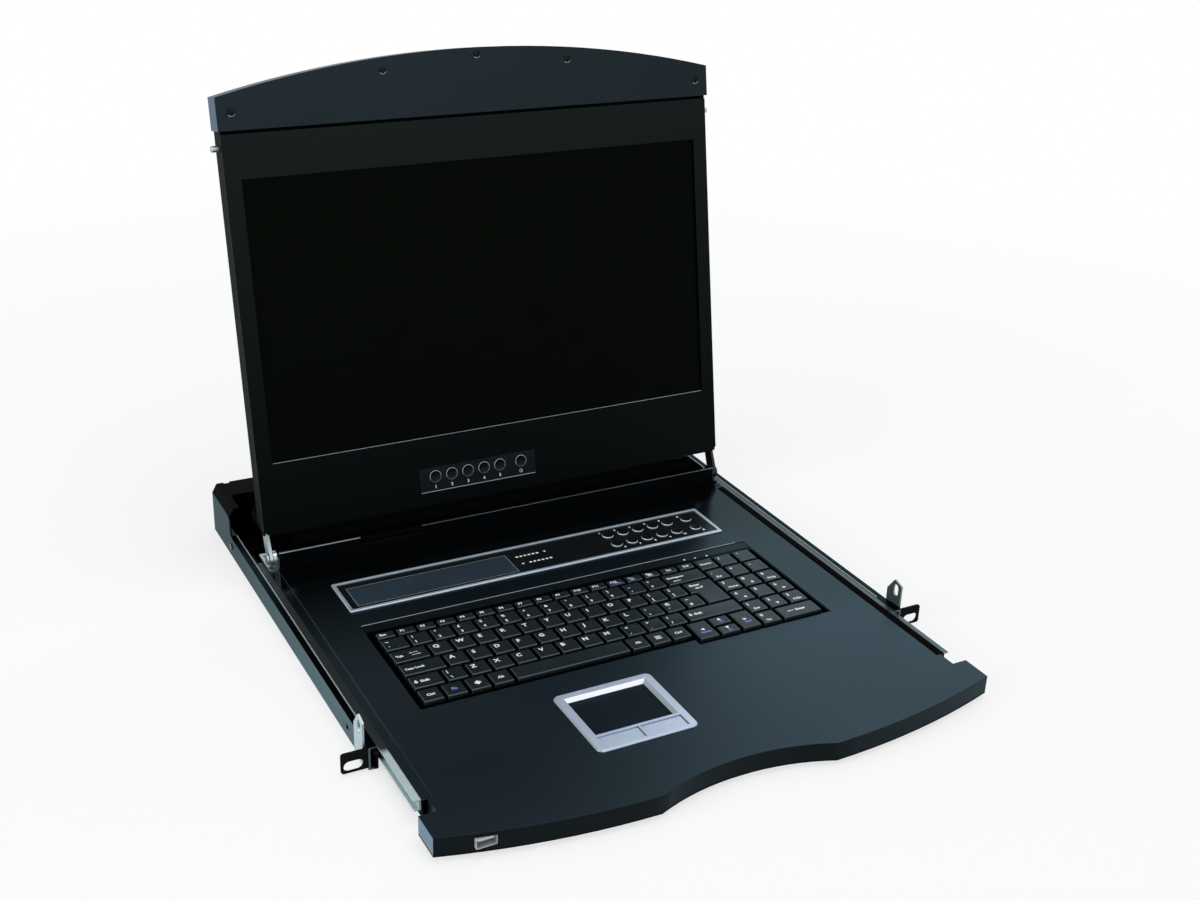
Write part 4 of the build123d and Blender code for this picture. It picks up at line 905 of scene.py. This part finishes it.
for box, way, text in zip(arrows, ("left", "up", "down", "right"), ("Home", "Pg", "Pg", "End")):
    middle = (box[0] + box[1]) / 2
    lift = -1.5 if way in ("left", "right") else 0.0
    rows["arrow"].arrow(middle.x, middle.y + 1.7 + lift, 3.3, way)
    rows["arrow"].text(text, middle.x + 0.8, middle.y - 3.4 + lift, 3.4, BLUE, centred=True)
pad = sorted(key_boxes["pad"], key=lambda box: (round(box[0].y), box[0].x))
PAD = [("0", "Ins"), None, ("1", "End"), ("2", "down"), ("3", "PgDn"), ("4", "left"), ("5", "")]
PAD += [("6", "right"), ("7", "Home"), ("8", "up"), ("9", "PgUp"), (".", "Del"), ("+", ""), ("-", "")]
PAD += [None, ("/", ""), ("*", "")]
for box, legend in zip(pad, PAD):
    if legend is None:
        continue
    rows["pad"].text(legend[0], box[0].x + 3.4, box[1].y - 6.8, 4.8)
    if legend[1] in ("up", "down", "left", "right"):
        rows["pad"].arrow(box[0].x + 9.0, box[0].y + 4.9, 3.0, legend[1])
    elif legend[1]:
        rows["pad"].text(legend[1], box[0].x + 5.0, box[0].y + 3.2, 3.5)
word(rows["pad"], pad[14], "NumLk", 3.5)
wide = (pad[1][0] + pad[1][1]) / 2
rows["pad"].text("Enter", wide.x - 2.2, wide.y - 1.4, 4.0)
rows["pad"].bar(wide.x - 8.6, wide.y - 0.3, wide.x - 4.0, wide.y + 0.3)
rows["pad"].arrow(wide.x - 8.8, wide.y, 2.0, "left")
for node_name, row in KEY_ROWS.items():
    if rows[row].faces:
        rows[row].done(f"legends_{row}", node_name)

# %% [markdown]
# ## The port strip
# The strip on the deck has a dark window for the indicators, two rows of round buttons and small
# figures beside them. Seen from the front, each button shows the bright front half of its raised
# rim, so the rims are real short walls and the light draws the crescents.

# %% Port strip
fascia_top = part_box("strip_fascia")[1].z / MM
strip_print = Print(flat, fascia_top + PRINT_LIFT)
strip_print.outline(-165.0, 178.0, -27.5, 207.5, 0.4)
strip_print.arrow(6.0, 200.8, 2.6, "down")
strip_print.arrow(-19.5, 188.6, 2.6, "left")
for i in range(6):
    strip_print.bar(-20.5 + i * 3.7, 199.8, -18.3 + i * 3.7, 201.8)
    strip_print.bar(-13.5 + i * 3.7, 187.6, -11.3 + i * 3.7, 189.6)
strip_rows = [islands(nodes["strip_buttons_back"]), islands(nodes["strip_buttons_front"])]
LABELS = [["1", "2", "3", "4", "5", "A"], ["6", "7", "8", "9", "10", "B"]]
for boxes, labels, side in zip(strip_rows, LABELS, (1, -1)):
    for box, label in zip(boxes, labels):
        middle = (box[0] + box[1]) / 2
        x = middle.x - 4.6 if side > 0 else middle.x + 4.6
        strip_print.text(label, x, middle.y + side * 6.6 - 1.1, 3.4, centred=True)
strip_print.done("strip_marks", "drawer")
WINDOW = box_points((-164.4, 178.6), (-28.1, 206.9))
window_rings = []
for inset, rise in ((0.0, -0.1), (0.0, 0.0), (0.15, 0.03)):
    window_rings.append([flat(x, y, fascia_top + rise) for x, y in rounded(WINDOW, inset, 1.0)])
window_verts, window_faces = [], []
skin(window_rings, window_verts, window_faces)
piece("strip_window", window_verts, window_faces, [window_film], "drawer")


def round_ring(x, y, z, radius, steps=28):
    """Points of a circle, on the surface that a mapping function gives."""
    angles = [2 * pi * i / steps for i in range(steps)]
    return [(x + radius * cos(angle), y + radius * sin(angle), z) for angle in angles]


def round_buttons(name, boxes, profile, where, materials, body, bright=None, close=True, arc=None):
    """Skin round buttons from radii and heights. The second material takes some bands, or an arc."""
    verts, faces, tints = [], [], []
    for x, y, z in boxes:
        rings = [[where(*p) for p in round_ring(x, y, z + rise, radius)] for radius, rise in profile]
        before = len(faces)
        skin(rings, verts, faces, closed_top=close)
        made = len(faces) - before
        steps = len(rings[0])
        if arc:
            tints += [1 if (k % steps - arc[0]) % steps < arc[1] else 0 for k in range(made)]
        else:
            tints += [1 if bright and k // steps in bright else 0 for k in range(made)]
    return piece(name, verts, faces, materials, body, tints=tints, smooth=40)


DOME = [(4.9, -2.6), (4.9, -0.75), (4.9, -0.3), (4.65, 0.0), (4.1, -0.02), (3.6, -0.12), (1.8, -0.2)]
DOME_RIM = (1, 2)
for row, boxes in zip(("back", "front"), strip_rows):
    name = f"strip_buttons_{row}"
    spots = [((low.x + high.x) / 2, (low.y + high.y) / 2, high.z) for low, high in boxes]
    domes = round_buttons(f"domes_{row}", spots, DOME, flat, [button_skin, rim_silver_and_highlight], name, DOME_RIM)
    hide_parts(name)

# %% [markdown]
# ## The strip under the screen
# Five menu buttons and a power button sit in a dark strip on the bezel. Each is a shallow dish with
# a round lip, and a paler arc at the top of the lip is a painted highlight. The marks below are plain
# figures and the usual power sign.

# %% Menu buttons
lid_print = Print(on_lid, 0.85)
MENU = [(-63.3 + 14.7 * i, 24.4) for i in range(5)]
POWER = (15.2, 24.4)
for i, (x, y) in enumerate(MENU):
    lid_print.text(str(i + 1), x, y - 10.2, 3.4, centred=True)
lid_print.ring(POWER[0], POWER[1] - 8.9, 1.5, 0.35, start=radians(125), turn=radians(290))
lid_print.bar(POWER[0] - 0.2, POWER[1] - 8.9, POWER[0] + 0.2, POWER[1] - 7.1)
lid_print.done("menu_marks", "lid")
LIP = [(5.25, -3.0), (5.25, -0.45), (5.0, -0.1), (4.7, 0.0), (4.35, -0.12), (4.0, -0.42), (2.0, -0.6)]
RIM = [(5.2, -0.3), (5.22, 0.0), (5.0, 0.14), (4.75, 0.12), (4.6, -0.1)]
RIM_WITH_HIGHLIGHT = [edge_steel_and_highlight, painted_highlight_edge]
for name, spots in (("menu_buttons", MENU), ("power_button", [POWER])):
    dishes = round_buttons(f"dish_{name}", [(x, y, 1.7) for x, y in spots], LIP, on_lid, [button_skin], name)
    rim_spots = [(x, y, 1.62) for x, y in spots]
    # The second metal, on an arc at the top of each rim, is a painted highlight.
    round_buttons(f"rim_{name}", rim_spots, RIM, on_lid, RIM_WITH_HIGHLIGHT, name, close=False, arc=(4, 12))
    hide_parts(name)

# %% [markdown]
# ## Screws
# The cap of the lid is held by small pan-head screws with a cross recess. A head is a low dome skinned
# from rings, and the cross is a sunk shape: the same rings with two slots pressed into the middle.


# %% Screw heads
def screw_heads(name, spots, where, body, radius=2.9, height=1.0, material=screw_black):
    """Domed heads with a cross recess. Each spot is a place on a surface, and its height above it."""
    verts, faces = [], []
    steps = 32
    for x, y, z in spots:
        rings = []
        for share, rise in ((1.0, 0.0), (1.0, 0.35), (0.92, 0.7), (0.75, 0.9), (0.58, 1.0)):
            rings.append([where(*p) for p in round_ring(x, y, z + rise * height, radius * share, steps)])
        inner = []
        for i in range(steps):
            angle = 2 * pi * i / steps
            off_cross = min(abs(((angle - k * pi / 2 + pi) % (2 * pi)) - pi) for k in range(4))
            lobe = 0.52 if off_cross < 0.3 else 0.2
            inner.append((x + radius * lobe * cos(angle), y + radius * lobe * sin(angle)))
        rings.append([where(px, py, z + height) for px, py in inner])
        rings.append([where(px, py, z + height - 0.9) for px, py in inner])
        skin(rings, verts, faces)
    return piece(name, verts, faces, [material], body, smooth=30)


cap_spots = []
for low, high in islands(nodes["cap_screws"]):
    middle = (low + high) / 2
    offset = middle - lid_corner
    cap_spots.append((offset.x, offset.dot(LID_UP), 1.5))
cap_heads = screw_heads("cap_screw_heads", cap_spots, on_lid, "lid")
# Each head sits in a black ring whose lower arc of pale silver is a painted highlight.
SEAT = [(3.2, 0.0), (3.2, 0.25), (2.95, 0.4), (2.7, 0.2)]
seat_black_and_highlight = [screw_black, rim_silver_and_highlight]
round_buttons("cap_screw_rims", cap_spots, SEAT, on_lid, seat_black_and_highlight, "lid", close=False, arc=(17, 9))
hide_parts("cap_screws")
print("cap screws:", len(cap_spots))

# %% [markdown]
# ## Painted bright edges and dark seams
# Light catches the drawer along a few long edges: the sill of the screen opening, the lower edge of the
# menu strip, the front edge of the hinge block, the back edge of the keyboard and the folded lips of the
# side plates. Slim pale bars along these edges are painted highlights. Two bars are dark instead and are
# painted shade: the step at the deck's right side, and the seam under the lid's cap. The highlights could
# be painted into the finish, but a slim bar with rounded corners, skinned along X or Y, catches the light
# as an edge does.


# %% Edge bars
def edge_bar(name, start, end, wide, high, where, body, material=None):
    """A slim bar with rounded corners between two points of a surface, wide in that surface."""
    verts, faces = [], []
    (x0, y0, z), (x1, y1) = start, end[:2]
    along_x = abs(x1 - x0) > abs(y1 - y0)
    outline = rounded(box_points((-wide / 2, 0), (wide / 2, high)), 0, min(wide, high) * 0.3, 2)
    for share in (0.0, 1.0):
        x, y = x0 + (x1 - x0) * share, y0 + (y1 - y0) * share
        verts_of = [(x, y + p.x, z + p.y) if along_x else (x + p.x, y, z + p.y) for p in outline]
        verts.extend(where(*p) for p in verts_of)
    size = len(outline)
    for i in range(size):
        j = (i + 1) % size
        faces.append((i, i + size, j + size, j) if along_x else (i, j, j + size, i + size))
    faces.append(tuple(range(size)) if along_x else tuple(reversed(range(size))))
    faces.append(tuple(reversed(range(size, 2 * size))) if along_x else tuple(range(size, 2 * size)))
    return piece(name, verts, faces, [material or edge_steel_and_highlight], body)


def deck_bar(name, start, end, wide, high, body="drawer", material=painted_highlight_edge):
    """An edge bar in the drawer's own millimetres."""
    return edge_bar(name, start, end, wide, high, flat, body, material)


# Painted highlights: pale bars on the screen sill, the menu strip, the keyboard's back edge, the hinge block
# and the side plates' lips.
edge_bar("screen_sill", (-198.2, 58.2, -1.9), (198.2, 58.2, -1.9), 0.5, 1.75, on_lid, "lid")
edge_bar("menu_strip_edge", (-76.6, 11.5, 0.5), (28.3, 11.5, 0.5), 0.8, 0.5, on_lid, "lid")
deck_bar("keyboard_back_edge", (-173.0, 149.3, 11.3), (161.0, 149.3, 11.3), 0.7, 0.35)
block_low, block_high = (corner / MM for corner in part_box("hinge_block"))
edge_y, edge_z = block_low.y + 0.5, block_high.z - 0.2
deck_bar("block_edge_left", (-203.0, edge_y, edge_z), (-135.0, edge_y, edge_z), 1.3, 0.5)
deck_bar("block_edge_right", (-81.0, edge_y, edge_z), (203.0, edge_y, edge_z), 1.0, 0.5, material=edge_steel_and_highlight)
for side, hand in ((-1, "left"), (1, "right")):
    lip_x = side * 216.6
    deck_bar(f"lip_edge_{hand}", (lip_x, 24.0, 10.5), (lip_x, 333.0, 10.5), 0.9, 0.3, "chassis")
# Painted shade: a matt black bar on the deck's right step, and one in the seam under the lid's cap.
deck_bar("right_step_painted_shade", (207.2, -66.8, 10.92), (207.2, 248.0, 10.92), 7.0, 0.25, material=matt_black_guard_and_shade)
seam = ((-210.8, 316.7, -1.15), (210.8, 316.7, -1.15))
edge_bar("cap_seam_painted_shadow", *seam, 2.5, 0.4, on_lid, "lid", matt_black_guard_and_shade)
print("edge bars:", 9)

# %% [markdown]
# ## Bottom tongues
# Behind the left hinge the picture shows black where the floor would be. Two narrow black sheets run
# forward from the rear box's bottom along the side plates and cover the floor there. Each has a low lip
# along its inner edge.

# %% Bottom tongues
floor_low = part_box("rear_floor")[0] / MM
TONGUE = [(215.4, 0.1), (215.4, 1.0), (161.0, 1.0), (161.0, 1.6), (160.0, 1.6), (160.0, 0.1)]
for side, hand in ((-1, "left"), (1, "right")):
    verts = []
    for y in (266.0, floor_low.y):
        verts.extend(flat(side * x, y, floor_low.z + rise) for x, rise in TONGUE)
    count = len(TONGUE)
    sides = [(i, (i + 1) % count, (i + 1) % count + count, i + count) for i in range(count)]
    caps = [(0, 3, 2, 1), (0, 5, 4, 3), (6, 7, 8, 9), (6, 9, 10, 11)]
    faces = [face if side > 0 else face[::-1] for face in sides + caps]
    tongue = piece(f"bottom_tongue_{hand}", verts, faces, [bar_coat], "chassis")
    print(tongue.name, [round(length) for length in tongue.dimensions / MM])

# %% [markdown]
# ## Lock lights
# Three pin-head indicators stand behind the number keys. They are clear plugs over small lamps, unlit
# here, so a white dot each, printed like a legend, shows all that can be seen of them.

# %% Lock lights
led_print = Print(flat, 11.1)
for x, y in ((106.0, 141.0), (116.0, 140.2), (127.0, 139.6)):
    led_print.ring(x, y, 0.9, 0.9, WHITE, steps=10)
led_print.done("lock_lights", "drawer")

# %% [markdown]
# ## Floor, light and world
# The floor is pale and plain, with the drawer's shadow on it. The world is white where the camera or a
# reflection looks, which is what gives black paint its soft sheen, and dimmer as a light. The floor
# glows a little for the same looks, so it runs into the white behind it and still holds the shadow.
# Three soft lamps stand left, above and in front. A fourth stands behind on the right, where the
# deck's front mirrors it towards the camera as a broad, faint shine.


# %% Floor
def looks_of(finish):
    """1 where the camera, a reflection or a see-through ray looks, and 0 for light that is only cast."""
    wanted = ("Is Camera Ray", "Is Glossy Ray", "Is Transmission Ray")
    kinds = [finish.node("ShaderNodeLightPath", out=kind) for kind in wanted]
    two = finish.node("ShaderNodeMath", {"operation": "MAXIMUM"}, {0: kinds[0], 1: kinds[1]})
    return finish.node("ShaderNodeMath", {"operation": "MAXIMUM"}, {0: two, 1: kinds[2]})


def floor_finish():
    """Pale matt floor with a faint unevenness."""
    finish = Finish(bpy.data.materials.new("pale_floor"))
    cloud = finish.noise(0.8, 2.0)
    colour = finish.mix(cloud, (0.90, 0.90, 0.90), (0.93, 0.93, 0.93))
    matt = finish.node("ShaderNodeBsdfDiffuse", {}, {"Color": colour})
    white = finish.node("ShaderNodeEmission", {}, {"Color": (1, 1, 1, 1), "Strength": 1.0})
    beyond_x = finish.rise(finish.size_of(finish.along("X")), 0.190, 0.215)
    beyond_y = finish.rise(finish.size_of(finish.along("Y") - 0.16), 0.19, 0.215)
    open_floor = finish.node("ShaderNodeMath", {"operation": "MAXIMUM"}, {0: beyond_x, 1: beyond_y})
    far = finish.node("ShaderNodeVectorMath", {"operation": "LENGTH"}, {0: finish.place()}, out="Value")
    glow = looks_of(finish) * open_floor * (finish.rise(far, 0.5, 1.6) * 0.3 + 0.7)
    finish.node_out(finish.node("ShaderNodeMixShader", {}, {0: glow, 1: matt, 2: white}))
    return finish.owner


floor_z = cad_box[0].z
floor_mesh = bpy.data.meshes.new("floor")
REACH = 40.0
corners = [(x, y, floor_z) for x, y in box_points((-REACH, -REACH), (REACH, REACH))]
floor_mesh.from_pydata(corners, [], [(0, 1, 2, 3)])
floor_mesh.materials.append(floor_finish())
floor = bpy.data.objects.new("floor", floor_mesh)
bpy.context.scene.collection.objects.link(floor)
print("floor height:", round(floor_z, 4), "m")

# %% World and lamps
world = bpy.data.worlds.new("studio")
bpy.context.scene.world = world
sky = Finish(world)
AMBIENT = 0.45
brightness = looks_of(sky) * (1.0 - AMBIENT) + AMBIENT
glow = sky.node("ShaderNodeBackground", {}, {"Color": (1, 1, 1, 1), "Strength": brightness})
world_end = sky.tree.nodes.new("ShaderNodeOutputWorld")
sky.tree.links.new(glow.socket, world_end.inputs["Surface"])


def lamp(name, place, target, size, power, colour=(1, 1, 1)):
    """A soft square lamp aimed at a point."""
    data = bpy.data.lights.new(name, "AREA")
    data.size = size
    data.energy = power
    data.color = colour
    made = bpy.data.objects.new(name, data)
    made.location = place
    made.rotation_mode = "QUATERNION"
    made.rotation_quaternion = (Vector(target) - Vector(place)).to_track_quat("-Z", "Y")
    bpy.context.scene.collection.objects.link(made)


lamp("lamp_left", (-2.4, -0.3, 1.0), (0, 0.1, 0.1), 1.4, 26, (0.96, 0.99, 1.0))
lamp("lamp_top", (0.3, -0.2, 2.4), (0, 0.1, 0), 1.8, 22)
lamp("lamp_front", (0.8, -2.4, 1.5), (0, 0.1, 0.1), 1.2, 6)
lamp("lamp_back", (1.55, 1.30, 1.50), (0.1, 0, 0), 1.0, 5, (0.80, 0.95, 1.0))
bpy.context.scene.view_settings.view_transform = "Standard"
print("lamps: 4")
